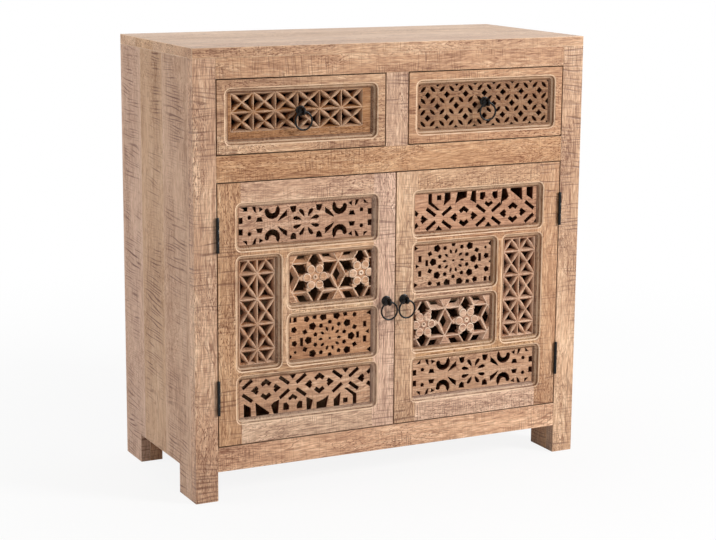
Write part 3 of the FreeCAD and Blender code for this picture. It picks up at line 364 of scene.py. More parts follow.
def black_iron():
    """Forged iron under black wax, a little paler where it is rubbed."""
    made, tree, shader = new_material("black iron")
    place = add(tree, "ShaderNodeTexCoord").outputs["Object"]
    dents = noise(tree, place, (260, 260, 260), 2)
    scale = noise(tree, place, (900, 900, 900), 3)
    rubbed = step(tree, noise(tree, place, (150, 150, 150), 3), 0.52, 0.78)
    tree.links.new(blend(tree, rubbed, srgb(5, 5, 6), srgb(20, 18, 17)),
                   shader.inputs["Base Color"])
    tree.links.new(step(tree, scale, 0.2, 0.8, 0.2, 0.4), shader.inputs["Roughness"])
    shader.inputs["Specular IOR Level"].default_value = 0.25
    bump = add(tree, "ShaderNodeBump", {"Height": calc(tree, "MULTIPLY_ADD", scale, 0.25, dents),
                                        "Strength": 0.35, "Distance": 0.6 * MM})
    tree.links.new(bump.outputs[0], shader.inputs["Normal"])
    return made


# Edge: the colour of eased edges made paler, wear and painted highlight. The darkest colour:
# staining and painted shade deeper in recesses and cuts, and painted shade in gaps
FRONT_TONES = dict(pale=srgb(241, 203, 164), tan=srgb(200, 155, 117), brown=srgb(112, 63, 31),
                   cut=srgb(96, 54, 27), edge=srgb(236, 202, 168), stain=srgb(74, 41, 20),
                   rough=0.56)
STILE_WOOD = mango_wood("sawn uprights", **FRONT_TONES, marks=0.7, chatter=0.3,
                        spacing=8 * MM, reach=15)
RAIL_WOOD = mango_wood("planed rails", **FRONT_TONES, marks=0.2, chatter=0.5,
                       spacing=7 * MM, reach=20)
TOP_WOOD = mango_wood("waxed top boards", **FRONT_TONES, marks=0.1, chatter=0.15,
                      spacing=7 * MM, reach=20)
SIDE_WOOD = mango_wood("sawn side planks", pale=srgb(221, 188, 162), tan=srgb(203, 166, 138),
                       brown=srgb(146, 105, 76), cut=srgb(96, 47, 14), edge=srgb(216, 187, 162),
                       rough=0.6, marks=0.95, chatter=0.25, spacing=7 * MM, reach=13,
                       slope=-0.035, margin=0.8)
# Carved wood: its own redder tone, and darker than the face frame as painted shade of the recess it
# sits in
CARVED_WOOD_SHADED = mango_wood("hand carved wood", pale=srgb(220, 176, 141), tan=srgb(186, 136, 100),
                         brown=srgb(112, 65, 36), cut=srgb(96, 54, 30), edge=srgb(248, 222, 196),
                         stain=srgb(84, 34, 11), rough=0.6, marks=0.08, chatter=0.25,
                         spacing=7 * MM, reach=20)
INNER_WOOD = mango_wood("bare inner wood", pale=srgb(212, 178, 145), tan=srgb(197, 158, 123),
                        brown=srgb(164, 122, 89), cut=srgb(134, 94, 64), edge=srgb(224, 196, 166),
                        rough=0.68, marks=0.12, chatter=0.2, spacing=6 * MM, reach=12)
IRON = black_iron()


# Boards

NEAR = 0.01 * MM
ON_FACE = 0.05 * MM
UPPER_SKIN = 0.3 * MM
# Bends between two faces, in degrees: at a corner, at a line along a moulding, of the facets that
# are left flat, and at a crease that is never smooth
CORNER = 35
MOULDING_LINE = 12
FACETS = (3, 20)
CREASE = 50
# How far edges are eased: of plain boards, of the face frame and the outlines of doors and drawer
# fronts, of the rim of a recess and of its mouldings
BOARD_EASE = 0.9 * MM
FRAME_EASE = 0.8 * MM
RIM_EASE = 1.5 * MM
MOULDING_EASE = 0.7 * MM
# How far the edges of the face frame and those outlines are rubbed paler, from 0 to 1: wear and
# painted highlight
FRAME_RUBBED_AND_LIT = 0.3
LEAF_RUBBED_AND_LIT = 0.1
# Recesses of the doors and drawer fronts, the staining and painted shade that darken them with
# depth, and the painted shade in the gaps between boards
RECESS = 11 * MM
RECESS_STAIN_AND_SHADE = 0.5
GAP_SHADE = 0.3
BAR_WIDTH = 32 * MM
INSIDE_CASE = Vector((-0.42, -1, 0.1)), Vector((0.42, 1, 0.86))
ANYWHERE = Vector((-1, -1, -1)), Vector((1, 1, 1))
# Where the planks of a side and of the top meet, as shares of its depth
SIDE_JOINTS = (0.36, 0.69)
TOP_JOINTS = (0.23, 0.52, 0.77)


def take_in(mesh, data):
    """Add a plain mesh to a piece, and drop the plain mesh."""
    mesh.from_mesh(data)
    bpy.data.meshes.remove(data)


def merge(whole, mesh):
    """Move a mesh into a larger one."""
    data = bpy.data.meshes.new("part")
    mesh.to_mesh(data)
    mesh.free()
    take_in(whole, data)


def gather(meshes):
    """Several meshes as one, each still apart from the others."""
    whole = bmesh.new()
    for mesh in meshes:
        merge(whole, mesh)
    return whole


def joined(node, flat=True, keep=None):
    """The node's loose triangles joined into closed boards, as a rule with whole flat faces."""
    board = bmesh.new()
    board.from_mesh(nodes[node].data)
    if keep:
        dropped = [face for face in board.faces if not keep(face)]
        bmesh.ops.delete(board, geom=dropped, context="FACES")
    bmesh.ops.remove_doubles(board, verts=board.verts, dist=NEAR)
    if flat:
        bmesh.ops.dissolve_limit(board, angle_limit=math.radians(0.3), verts=board.verts,
                                 edges=board.edges)
    return board


def joined_bars(node):
    """The upright bar and the cross bar of a door, which meet at the upright's inner face."""
    low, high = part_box(node)
    meeting = low.x + BAR_WIDTH if low.x < 0 else high.x - BAR_WIDTH

    def is_left(face):
        return face.calc_center_median().x - 0.1 * MM * face.normal.x < meeting
    return gather([joined(node, keep=is_left), joined(node, keep=lambda face: not is_left(face))])


def boards_of(mesh):
    """The separate boards of a mesh, each as a list of its vertices."""
    mesh.verts.ensure_lookup_table()
    mesh.verts.index_update()
    taken = [False] * len(mesh.verts)
    for start in mesh.verts:
        if taken[start.index]:
            continue
        taken[start.index] = True
        found, open_ends = [], [start]
        while open_ends:
            here = open_ends.pop()
            found.append(here)
            for edge in here.link_edges:
                there = edge.other_vert(here)
                if not taken[there.index]:
                    taken[there.index] = True
                    open_ends.append(there)
        yield found


def needs_softening(edge, least):
    """A corner of the board, or a line along a moulding, that the maker has eased."""
    if len(edge.link_faces) != 2:
        return False
    angle = math.degrees(edge.calc_face_angle(0))
    level = abs(edge.verts[0].co.y - edge.verts[1].co.y) < NEAR
    return angle > least or (level and angle > MOULDING_LINE)


def soften(mesh, width, segments=2, least=CORNER, chosen=None, rubbed=1):
    """Ease the corners, and note how far the new faces are rubbed paler: wear and painted
    highlight.
    """
    worn = mesh.faces.layers.float.get("worn") or mesh.faces.layers.float.new("worn")
    edges = [edge for edge in mesh.edges
             if needs_softening(edge, least) and (chosen is None or chosen(edge))]
    made = bmesh.ops.bevel(mesh, geom=edges, offset=width, offset_type="OFFSET",
                           segments=segments, profile=0.5, affect="EDGES", clamp_overlap=False)
    for face in made["faces"]:
        face[worn] = rubbed


def shade(mesh):
    """Smooth round the eased edges and the corners of the mouldings, flat elsewhere."""
    worn = mesh.faces.layers.float["worn"]
    for face in mesh.faces:
        face.smooth = True
    for edge in mesh.edges:
        if len(edge.link_faces) != 2:
            continue
        first, second = (face[worn] for face in edge.link_faces)
        angle = math.degrees(edge.calc_face_angle(0))
        rounded = first > 0 or not FACETS[0] < angle < FACETS[1]
        edge.smooth = first == second and rounded and angle < CREASE


def mark_grain(mesh, along=None, tones=(), whole=False):
    """Give every board its own grain, along its longest side, and its own tone.

    Tones, from 0 dark to 1 pale, are for the boards from left to right and from below. A whole
    piece is one board, whatever it is made up of."""
    def place(board):
        return [round(min(v.co[k] for v in board), 3) for k in (0, 2)]
    grain = mesh.verts.layers.float_vector.new("grain")
    tone = mesh.verts.layers.float_vector.new("board")
    across = mesh.verts.layers.float.new("across")
    boards = [mesh.verts[:]] if whole else sorted(boards_of(mesh), key=place)
    for number, board in enumerate(boards):
        low = [min(v.co[k] for v in board) for k in range(3)]
        high = [max(v.co[k] for v in board) for k in range(3)]
        sizes = sorted(range(3), key=lambda k: low[k] - high[k])
        if along:
            sizes.remove(AXES[along])
            sizes.insert(0, AXES[along])
        offset = [rng.uniform(0, 9) for _ in range(3)]
        own = Vector([rng.uniform(0.3, 0.7), rng.random(), rng.random()])
        if number < len(tones):
            own.x = tones[number]
        wide = sizes[1]
        for v in board:
            v[grain] = [v.co[sizes[k]] + offset[k] for k in range(3)]
            v[tone] = own
            v[across] = (2 * v.co[wide] - low[wide] - high[wide]) / (high[wide] - low[wide])


def finish_piece(name, mesh, material, replaced):
    """Make the piece, put it on the body of the node that it stands for, and give it its finish."""
    data = mesh
    if isinstance(mesh, bmesh.types.BMesh):
        data = bpy.data.meshes.new(name)
        mesh.to_mesh(data)
        mesh.free()
    data.name = name
    data.materials.clear()
    data.materials.append(material)
    made = bpy.data.objects.new(name, data)
    scene.collection.objects.link(made)
    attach(made, nodes[replaced]["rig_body"])
    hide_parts(replaced)
    return made


def cut_off(mesh, k, at, way):
    """Saw off what lies beyond a plane across one axis, and close the cut."""
    normal = Vector([way if i == k else 0 for i in range(3)])
    found = bmesh.ops.bisect_plane(mesh, geom=mesh.verts[:] + mesh.edges[:] + mesh.faces[:],
                                   plane_co=normal * at * way, plane_no=normal, clear_outer=True)
    rim = [edge for edge in found["geom_cut"] if isinstance(edge, bmesh.types.BMEdge)]
    if rim:
        bmesh.ops.edgeloop_fill(mesh, edges=rim)


def planks(node, axis, shares):
    """The node's board sawn along one axis into the planks that it is glued up from."""
    low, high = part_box(node)
    k = AXES[axis]
    cuts = [low[k] + share * (high[k] - low[k]) for share in shares]
    strips = []
    for start, end in zip([None] + cuts, cuts + [None]):
        strip = joined(node)
        for at, way in ((start, -1), (end, 1)):
            if at is not None:
                cut_off(strip, k, at, way)
        bmesh.ops.recalc_face_normals(strip, faces=strip.faces)
        strips.append(strip)
    return gather(strips)


def is_rim(edge):
    """The line where a board's face turns down into a moulded recess."""
    if len(edge.link_faces) != 2:
        return False
    facing = sorted(face.normal.y for face in edge.link_faces)
    return facing[0] < -0.99 and -0.97 < facing[1] < -0.2


def is_moulding(edge):
    """A line along the steps of a recess."""
    return all(face.normal.y < -0.2 for face in edge.link_faces)


def is_outer(edge, leaf):
    """A corner on the outline of the whole door or drawer front, and not one in a joint."""
    def on_outline(face):
        centre = face.calc_center_median()
        return any(abs(face.normal[k]) > 0.99
                   and min(abs(centre[k] - end[k]) for end in leaf) < ON_FACE for k in (0, 2))
    outline = [on_outline(face) for face in edge.link_faces]
    return any(outline) and all(out or abs(face.normal.y) > 0.2
                                for out, face in zip(outline, edge.link_faces))


def shade_gaps(mesh, within):
    """Paint shade on the sides of a board inside these limits, where it forms gaps with its
    neighbours.
    """
    low, high = within
    deep = mesh.loops.layers.float.get("deep") or mesh.loops.layers.float.new("deep")
    for face in mesh.faces:
        centre = face.calc_center_median()
        inside = all(low[k] < centre[k] < high[k] for k in (0, 2))
        if abs(face.normal.y) < 0.5 and inside:
            for corner in face.loops:
                corner[deep] = GAP_SHADE


def dress_board(node, material, along=None, segments=2, mesh=None, tones=(), has_sheen=False):
    """A plain board with eased edges; one with a sheen gets a painted sheen, a paler greyer colour,
    on its upper face.
    """
    mesh = mesh or joined(node)
    soften(mesh, BOARD_EASE, segments)
    mark_grain(mesh, along, tones)
    if has_sheen:
        # Painted sheen, on the upper face only
        sheen = mesh.verts.layers.float.new("sheen")
        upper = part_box(node)[1].z - UPPER_SKIN
        for v in mesh.verts:
            v[sheen] = v.co.z > upper
    shade(mesh)
    return finish_piece(f"{node}_wood", mesh, material, node)


def dress_face_frame(node, material, tones):
    """A board of the case front: painted shade in the gaps round the doors and drawers, and a
    rubbed outside made paler, wear and painted highlight.
    """
    mesh = joined(node)
    soften(mesh, FRAME_EASE, rubbed=FRAME_RUBBED_AND_LIT)
    mark_grain(mesh, tones=tones)
    shade_gaps(mesh, INSIDE_CASE)
    shade(mesh)
    return finish_piece(f"{node}_wood", mesh, material, node)


def dress_frame(node, material, leaf, tones=(), mesh=None):
    """A board of a door or drawer front: its recess has a rubbed rim made paler, wear and painted
    highlight, and its mouldings darken with depth, staining and painted shade.
    """
    mesh = mesh or joined(node)
    front = leaf[0].y
    worn = mesh.faces.layers.float.new("worn")

    def is_new(edge):
        return not any(face[worn] for face in edge.link_faces)
    soften(mesh, RIM_EASE, 3, chosen=is_rim)
    soften(mesh, MOULDING_EASE, chosen=lambda edge: is_moulding(edge) and is_new(edge))
    soften(mesh, FRAME_EASE, chosen=lambda edge: is_outer(edge, leaf) and is_new(edge),
           rubbed=LEAF_RUBBED_AND_LIT)
    # Staining and painted shade, darker the deeper a face lies in the recess
    deep = mesh.loops.layers.float.new("deep")
    for face in mesh.faces:
        for corner in face.loops:
            into = (corner.vert.co.y - front) / RECESS
            corner[deep] = RECESS_STAIN_AND_SHADE * into if into < 1.05 and face.normal.y < 0 else 0
    # Painted shade on the sides that face the gaps
    shade_gaps(mesh, ANYWHERE)
    mark_grain(mesh, tones=tones)
    shade(mesh)
    return finish_piece(f"{node}_wood", mesh, material, node)


# Carved panels

# Edges eased and rubbed paler, wear and painted highlight: of raised petals, of ridges and of
# pierced holes
FLOWER_EASE = 1.5 * MM
RIDGE_EASE = 0.6 * MM
HOLE_EASE = 0.9 * MM
STAR_RUBBED_AND_LIT = 0.4
LATTICE_RUBBED_AND_LIT = 0.7
HOLE_RUBBED_AND_LIT = 0.02
# Staining and painted shade at the back of a panel, in its pits and holes; ridges are clear of it
# at their crest
STAR_STAIN_AND_SHADE = 0.6
LATTICE_STAIN_AND_SHADE = 0.3
HOLE_STAIN_AND_SHADE = 4.5
CLEAR_CREST = 0.3 * MM
# Carved petals: half their width along diagonals, ribs and the flower lattice, their depth, the
# way they stay inside the panel, and their form, cut flat at the back
PETAL_HALF = 4.4 * MM
RIB_HALF = 3.2 * MM
LATTICE_HALF = 3.6 * MM
PETAL_DEPTH = 6 * MM
PETAL_CLEAR = 0.1 * MM
PETAL_TIP = 0.03
PETAL_FULLNESS = 0.7
PETAL_BACK = 0.1
# How far the petals are made paler: wear and a painted highlight on their crests
PETAL_RUBBED_AND_LIT = 0.25
# Chip-carved panels: columns and rows, the size of a cell, the middle of the field from that of
# the panel, and whether the diagonals of a cell make a diamond or a cross
STARS = {"left_drawer_jali": (6, 2, 47.5 * MM, 37.8 * MM, (-6 * MM, 7 * MM), False),
         "left_door_star_jali": (2, 4, 38.5 * MM, 51.5 * MM, (0, 0), True),
         "right_door_star_jali": (2, 4, 38.5 * MM, 51.5 * MM, (0, 0), True)}
# Flowers: the first from the middle of the panel, the way to the second, and the star round each
FLOWER_FIRST = Vector((-35 * MM, 1.5 * MM))
FLOWER_PITCH = 102.6 * MM
STAR_TIP = FLOWER_PITCH / math.sqrt(3)
STAR_NOTCH = FLOWER_PITCH / 3


def make_petals():
    """Leaf-shaped petals on a grid, their crests level with a panel's face and their sides sunk."""
    tree, given, out = geometry_group("carved petals", {"Across": "Int", "Up": "Int",
                                                        "Pitch Across": "Float",
                                                        "Pitch Up": "Float", "Length": "Float",
                                                        "Half Width": "Float", "Depth": "Float",
                                                        "Turn": "Float", "Centre": "Vector",
                                                        "Finish": "Material"})
    path = add(tree, "GeometryNodeCurvePrimitiveLine", {"Start": (-0.5, 0, 0), "End": (0.5, 0, 0)})
    even = add(tree, "GeometryNodeResampleCurve", {"Curve": path.outputs[0], "Count": 9})
    section = add(tree, "GeometryNodeCurvePrimitiveCircle", {"Resolution": 12, "Radius": 1})
    rod = add(tree, "GeometryNodeCurveToMesh", {"Curve": even.outputs[0], "Fill Caps": True,
                                                "Profile Curve": section.outputs[0]})
    at = parts_of(tree, add(tree, "GeometryNodeInputPosition").outputs[0])
    middle = calc(tree, "COSINE", calc(tree, "MULTIPLY", at[0], math.pi))
    swell = calc(tree, "POWER", calc(tree, "MAXIMUM", middle, PETAL_TIP), PETAL_FULLNESS)
    along = calc(tree, "MULTIPLY", at[0], given["Length"])
    cut_flat = calc(tree, "ADD", calc(tree, "MINIMUM", at[1], PETAL_BACK), 1)
    into = calc(tree, "MULTIPLY", cut_flat, given["Depth"])
    aside = calc(tree, "MULTIPLY", calc(tree, "MULTIPLY", at[2], swell), given["Half Width"])
    leaf = add(tree, "GeometryNodeSetPosition", {"Geometry": rod.outputs[0],
                                                 "Position": vector_of(tree, along, into, aside)})
    wide, high = (calc(tree, "MULTIPLY", calc(tree, "SUBTRACT", given[count], 1), given[pitch])
                  for count, pitch in (("Across", "Pitch Across"), ("Up", "Pitch Up")))
    grid = add(tree, "GeometryNodeMeshGrid", {"Size X": wide, "Size Y": high,
                                              "Vertices X": given["Across"],
                                              "Vertices Y": given["Up"]})
    upright = add(tree, "GeometryNodeTransform", {"Geometry": grid.outputs[0],
                                                  "Translation": given["Centre"],
                                                  "Rotation": (QUARTER, 0, 0)})
    placed = add(tree, "GeometryNodeInstanceOnPoints",
                 {"Points": upright.outputs[0], "Instance": leaf.outputs[0],
                  "Rotation": vector_of(tree, 0, given["Turn"])})
    return end_tree(tree, placed.outputs[0], given["Finish"], out)


PETALS = make_petals()


def star_runs(columns, rows, wide, high, aside, diamonds):
    """Petals of the chip-carved stars, along the diagonals and the lines between cells.

    Each run is a count across and up, a place, a length, a turn and half a width."""
    lean = math.atan2(high, wide) * (1 if diamonds else -1)
    for left in (-1, 1):
        for up in (-1, 1):
            yield (columns, rows, aside[0] + left * wide / 4, aside[1] + up * high / 4,
                   math.hypot(wide, high) / 2, left * up * lean, PETAL_HALF)
    yield columns, rows if diamonds else rows - 1, *aside, wide, 0, RIB_HALF
    yield columns - 1, rows - 1 if diamonds else rows, *aside, high, QUARTER, RIB_HALF


def lattice_runs(way):
    """Petals along the six-pointed stars round the two flowers of a panel, one run for each."""
    def at(radius, degrees):
        angle = math.radians(degrees)
        return Vector((radius * math.cos(angle), radius * math.sin(angle)))
    for flower in range(2):
        centre = FLOWER_FIRST + Vector((flower * FLOWER_PITCH, 0))
        for k in range(12):
            point = 60 * (k // 2)
            start, end = at(STAR_TIP, point + 30), at(STAR_NOTCH, point + 60 * (k % 2))
            place, line = way * ((start + end) / 2 + centre), end - start
            yield 1, 1, *place, line.length, -math.atan2(line.y, line.x), LATTICE_HALF


def carve_petals(mesh, node, face):
    """Round the ridges of a panel into petals."""
    low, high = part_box(node)
    middle = (low + high) / 2
    if node in STARS:
        pitch, runs = STARS[node][2:4], star_runs(*STARS[node])
    else:
        pitch, runs = (0, 0), lattice_runs(1 if node.startswith("left") else -1)
    leaves = bmesh.new()
    for across, up, x, z, length, turn, half in runs:
        take_in(leaves, run_tree(PETALS, across=across, up=up, pitch_across=pitch[0],
                                 pitch_up=pitch[1], length=length, half_width=half,
                                 depth=PETAL_DEPTH, turn=turn, finish=CARVED_WOOD_SHADED,
                                 centre=(middle.x + x, face, middle.z + z)))
    for k in (0, 2):
        cut_off(leaves, k, low[k] + PETAL_CLEAR, -1)
        cut_off(leaves, k, high[k] - PETAL_CLEAR, 1)
    bmesh.ops.recalc_face_normals(leaves, faces=leaves.faces)
    plain = len(mesh.faces)
    merge(mesh, leaves)
    mesh.faces.ensure_lookup_table()
    worn = mesh.faces.layers.float["worn"]
    # Petal crests get a painted highlight, with some wear
    for petal in mesh.faces[plain:]:
        petal[worn] = PETAL_RUBBED_AND_LIT


def at_level(y):
    """A test for convex edges that lie in the plane at this depth."""
    return lambda edge: edge.is_convex and all(abs(v.co.y - y) < ON_FACE for v in edge.verts)


def dress_jali(node, tone):
    """A carved panel, its front edges eased by the knife and its cuts darker with depth: staining
    and painted shade.
    """
    starred, flowered = node in STARS, "flower" in node
    mesh = joined(node, flat=not flowered)
    low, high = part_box(node)
    face = min(v.co.y for v in mesh.verts if v.co.x < low.x + MM)
    if flowered:
        soften(mesh, FLOWER_EASE, 3, chosen=at_level(low.y))
    if starred or flowered:
        soften(mesh, RIDGE_EASE, 1, chosen=at_level(face),
               rubbed=STAR_RUBBED_AND_LIT if starred else LATTICE_RUBBED_AND_LIT)
        carve_petals(mesh, node, face)
        clear, stain = CLEAR_CREST, STAR_STAIN_AND_SHADE if starred else LATTICE_STAIN_AND_SHADE
    else:
        soften(mesh, HOLE_EASE, chosen=at_level(face), rubbed=HOLE_RUBBED_AND_LIT)
        clear, stain = 0, HOLE_STAIN_AND_SHADE
    # Staining and painted shade, growing with depth into the pits and holes
    deep = mesh.loops.layers.float.new("deep")
    for part in mesh.faces:
        for corner in part.loops:
            into = (corner.vert.co.y - face - clear) / (high.y - face)
            corner[deep] = 0 if part.normal.y > 0.7 else stain * max(0, into)
    mark_grain(mesh, tones=(tone,), whole=starred or flowered)
    shade(mesh)
    return finish_piece(f"{node}_carving", mesh, CARVED_WOOD_SHADED, node)


# The case, the drawers and the doors. Tones are from 0 dark to 1 pale, and may go beyond.

FRAME_TONES = {"top_front_rail": 0.4, "middle_front_rail": 0.4, "bottom_front_rail": 1.2}
FRONT_STILE_TONES = (0.75, 0.9)
MULLION_TONE = 0.9
TOP_TONES = (0.45, 0.9, 0.55, 0.95)
DRAWER_TONES = {"left": (0.45, -0.4), "right": (0.2, -0.95)}
DOOR_STILE_TONES = {"left": (0.65, 1.6), "right": (0.8, 0.35)}
DOOR_RAIL_TONES = {"left": (1.2, 0.85), "right": (1.5, 0.7)}
DOOR_JALI_TONES = {"scroll": 0.7, "star": 0.35, "flower": 1, "rosette": 0.7, "strap": 0.7}


def dress_case():
    for side in SIDES:
        node = f"{side}_side_panel"
        dress_board(node, SIDE_WOOD, mesh=planks(node, "Y", SIDE_JOINTS), along="Z")
    dress_board("top_board", TOP_WOOD, mesh=planks("top_board", "Y", TOP_JOINTS),
                along="X", tones=TOP_TONES, has_sheen=True)
    dress_face_frame("front_stiles", STILE_WOOD, FRONT_STILE_TONES)
    for node, tone in FRAME_TONES.items():
        dress_face_frame(node, RAIL_WOOD, (tone,))
    dress_face_frame("drawer_mullion", STILE_WOOD, (MULLION_TONE,))
    dress_board("foot_blocks", STILE_WOOD, along="Z")
    dress_board("back_panel", INNER_WOOD, along="Z", segments=1)
    for node in ("back_rails", "cabinet_floor", "shelf", "shelf_cleats", "drawer_deck",
                 "door_stop", "drawer_divider", "drawer_guides", "drawer_kickers"):
        dress_board(node, INNER_WOOD, segments=1)


def dress_drawers():
    for side, (front_tone, jali_tone) in DRAWER_TONES.items():
        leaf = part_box(f"{side}_drawer_front")
        dress_frame(f"{side}_drawer_front", RAIL_WOOD, leaf, (front_tone,))
        for part in ("sides", "back", "bottom"):
            dress_board(f"{side}_drawer_{part}", INNER_WOOD, segments=1)
        dress_jali(f"{side}_drawer_jali", jali_tone)


def dress_doors():
    for side in SIDES:
        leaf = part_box(f"{side}_door_stiles")
        dress_frame(f"{side}_door_stiles", STILE_WOOD, leaf, DOOR_STILE_TONES[side])
        dress_frame(f"{side}_door_end_rails", RAIL_WOOD, leaf, DOOR_RAIL_TONES[side])
        dress_frame(f"{side}_door_cross_rails", RAIL_WOOD, leaf)
        bars = f"{side}_door_inner_bars"
        dress_frame(bars, RAIL_WOOD, leaf, mesh=joined_bars(bars))
        for panel, tone in DOOR_JALI_TONES.items():
            dress_jali(f"{side}_door_{panel}_jali", tone)


dress_case()
dress_drawers()
dress_doors()


# Iron

RING_HAMMERING = 0.25 * MM
EYE_HAMMERING = 0.2 * MM
EYE_WIRE = 2.8 * MM
EYE_SEED = 9
PLATE = 1.6 * MM
# The boss on a pull's plate: radius as a share of the plate's, and reach towards the eye
BOSS = ((0.8, 0.0), (0.72, 0.3), (0.58, 0.6), (0.4, 0.85), (0.3, 1.0))
HINGE_EASE = 0.2 * MM
HINGE_PLATE = 2 * MM
SCREWS = 3
SCREW_SPACING = 23 * MM
SCREW_RADIUS = 2.9 * MM
SCREW_PROUD = 0.12 * MM
SCREW_INSET = 8 * MM


def make_forged_ring():
    """A ring of hammered wire round a centre, turned as it hangs."""
    tree, given, out = geometry_group("forged ring", {"Radius": "Float", "Wire": "Float",
                                                      "Hammering": "Float", "Seed": "Float",
                                                      "Centre": "Vector", "Turn": "Vector",
                                                      "Finish": "Material"})
    path = add(tree, "GeometryNodeCurvePrimitiveCircle", {"Resolution": 72,
                                                          "Radius": given["Radius"]})
    section = add(tree, "GeometryNodeCurvePrimitiveCircle", {"Resolution": 14,
                                                             "Radius": given["Wire"]})
    tube = add(tree, "GeometryNodeCurveToMesh", {"Curve": path.outputs[0],
                                                 "Profile Curve": section.outputs[0]})
    dents = add(tree, "ShaderNodeTexNoise", {"W": given["Seed"], "Scale": 260, "Detail": 1},
                noise_dimensions="4D")
    beat = calc(tree, "MULTIPLY", dents.outputs[0], given["Hammering"])
    push = add(tree, "ShaderNodeVectorMath", {0: add(tree, "GeometryNodeInputNormal").outputs[0],
                                              "Scale": calc(tree, "MULTIPLY", beat, -1)},
               operation="SCALE")
    beaten = add(tree, "GeometryNodeSetPosition", {"Geometry": tube.outputs[0],
                                                   "Offset": push.outputs[0]})
    hung = add(tree, "GeometryNodeTransform", {"Geometry": beaten.outputs[0],
                                               "Translation": given["Centre"],
                                               "Rotation": given["Turn"]})
    smooth = add(tree, "GeometryNodeSetShadeSmooth", {"Geometry": hung.outputs[0]})
    return end_tree(tree, smooth.outputs[0], given["Finish"], out)


def turned(profile, at, steps=40):
    """A form turned on an axis that points to the front, from radius and reach."""
    made = bmesh.new()
    rings = []
    for radius, reach in profile:
        angles = [2 * math.pi * k / steps for k in range(steps)]
        rings.append([made.verts.new(at + Vector((radius * math.cos(angle), -reach,
                                                  radius * math.sin(angle)))) for angle in angles])
    for near, far in zip(rings, rings[1:]):
        for k in range(steps):
            made.faces.new((near[k - 1], near[k], far[k], far[k - 1]))
    made.faces.new(rings[0])
    made.faces.new(rings[-1])
    bmesh.ops.recalc_face_normals(made, faces=made.faces)
    for face in made.faces:
        face.smooth = True
    return made


def dress_pulls(forged_ring):
    """Each pull: a ring, and a turned plate and boss with the eye that the ring hangs in."""
    for seed, name in enumerate(f"{side}_{unit}" for side in SIDES for unit in ("drawer", "door")):
        low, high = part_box(f"{name}_pull_ring")
        middle = (low + high) / 2
        wire = (high.y - low.y) / 2
        ring = run_tree(forged_ring, radius=(high.x - low.x) / 2 - wire, wire=wire,
                        hammering=RING_HAMMERING, seed=seed, centre=middle,
                        turn=(QUARTER, 0, 0), finish=IRON)
        finish_piece(f"{name}_pull_ring_iron", ring, IRON, f"{name}_pull_ring")
        low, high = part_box(f"{name}_pull_base")
        seat = Vector((middle.x, high.y, (low.z + high.z) / 2))
        plate = (high.x - low.x) / 2
        out = high.y - middle.y
        eye = middle.y - low.y
        edge = [(plate - 0.8 * MM, 0), (plate, 0.5 * MM), (plate, 1.1 * MM),
                (plate - 0.6 * MM, PLATE)]
        boss = [(plate * share, reach * (out - eye * 0.6) + PLATE * (1 - reach))
                for share, reach in BOSS]
        base = turned(edge + boss, seat)
        take_in(base, run_tree(forged_ring, radius=eye - EYE_WIRE, wire=EYE_WIRE,
                               hammering=EYE_HAMMERING, seed=seed + EYE_SEED,
                               centre=seat - Vector((0, out, 0)), turn=(0, QUARTER, 0),
                               finish=IRON))
        finish_piece(f"{name}_pull_base_iron", base, IRON, f"{name}_pull_base")


def make_screw_row():
    """A row of slotted screw heads, one above the other, let into a hinge leaf."""
    tree, given, out = geometry_group("screw row", {"Count": "Int", "Spacing": "Float",
                                                    "Radius": "Float", "Proud": "Float",
                                                    "Centre": "Vector", "Turn": "Vector",
                                                    "Finish": "Material"})
    radius, proud, spacing = given["Radius"], given["Proud"], given["Spacing"]
    twice = calc(tree, "MULTIPLY", proud, 2)
    head = add(tree, "GeometryNodeMeshCone", {"Vertices": 20, "Radius Bottom": radius,
                                              "Radius Top": calc(tree, "MULTIPLY", radius, 0.8),
                                              "Depth": twice})
    size = vector_of(tree, calc(tree, "MULTIPLY", radius, 3),
                     calc(tree, "MULTIPLY", radius, 0.3), twice)
    bar = add(tree, "GeometryNodeMeshCube", {"Size": size})
    slot = add(tree, "GeometryNodeTransform", {"Geometry": bar.outputs[0],
                                               "Translation": vector_of(tree, 0, 0, twice)})
    cut = add(tree, "GeometryNodeMeshBoolean", {"Mesh 1": head.outputs[0],
                                                "Mesh 2": slot.outputs[0]},
              operation="DIFFERENCE")
    below = vector_of(tree, 0, 0, calc(tree, "MULTIPLY", proud, -1))
    sunk = add(tree, "GeometryNodeTransform", {"Geometry": cut.outputs[0], "Translation": below})
    half = calc(tree, "MULTIPLY", calc(tree, "SUBTRACT", given["Count"], 1), -0.5)
    lowest = vector_of(tree, 0, 0, calc(tree, "MULTIPLY", half, spacing))
    row = add(tree, "GeometryNodeMeshLine",
              {"Count": given["Count"], "Offset": vector_of(tree, 0, 0, spacing),
               "Start Location": shift(tree, given["Centre"], lowest)})
    placed = add(tree, "GeometryNodeInstanceOnPoints", {"Points": row.outputs[0],
                                                        "Instance": sunk.outputs[0],
                                                        "Rotation": given["Turn"]})
    return end_tree(tree, placed.outputs[0], given["Finish"], out)


def add_screws(mesh, screw_row, towards_door):
    """Screws in each leaf, in the face that it turns to the other leaf of its hinge."""
    for leaf in list(boards_of(mesh)):
        back = max(v.co.y for v in leaf)
        plate = [v.co for v in leaf if v.co.y > back - HINGE_PLATE]
        facing = 1 if (plate[0].x < 0) == towards_door else -1
        face = max(facing * at.x for at in plate) * facing
        middle = (max(at.z for at in plate) + min(at.z for at in plate)) / 2
        take_in(mesh, run_tree(screw_row, count=SCREWS, spacing=SCREW_SPACING,
                               radius=SCREW_RADIUS, proud=SCREW_PROUD,
                               centre=(face, back - SCREW_INSET, middle),
                               turn=(0, facing * QUARTER, 0), finish=IRON))


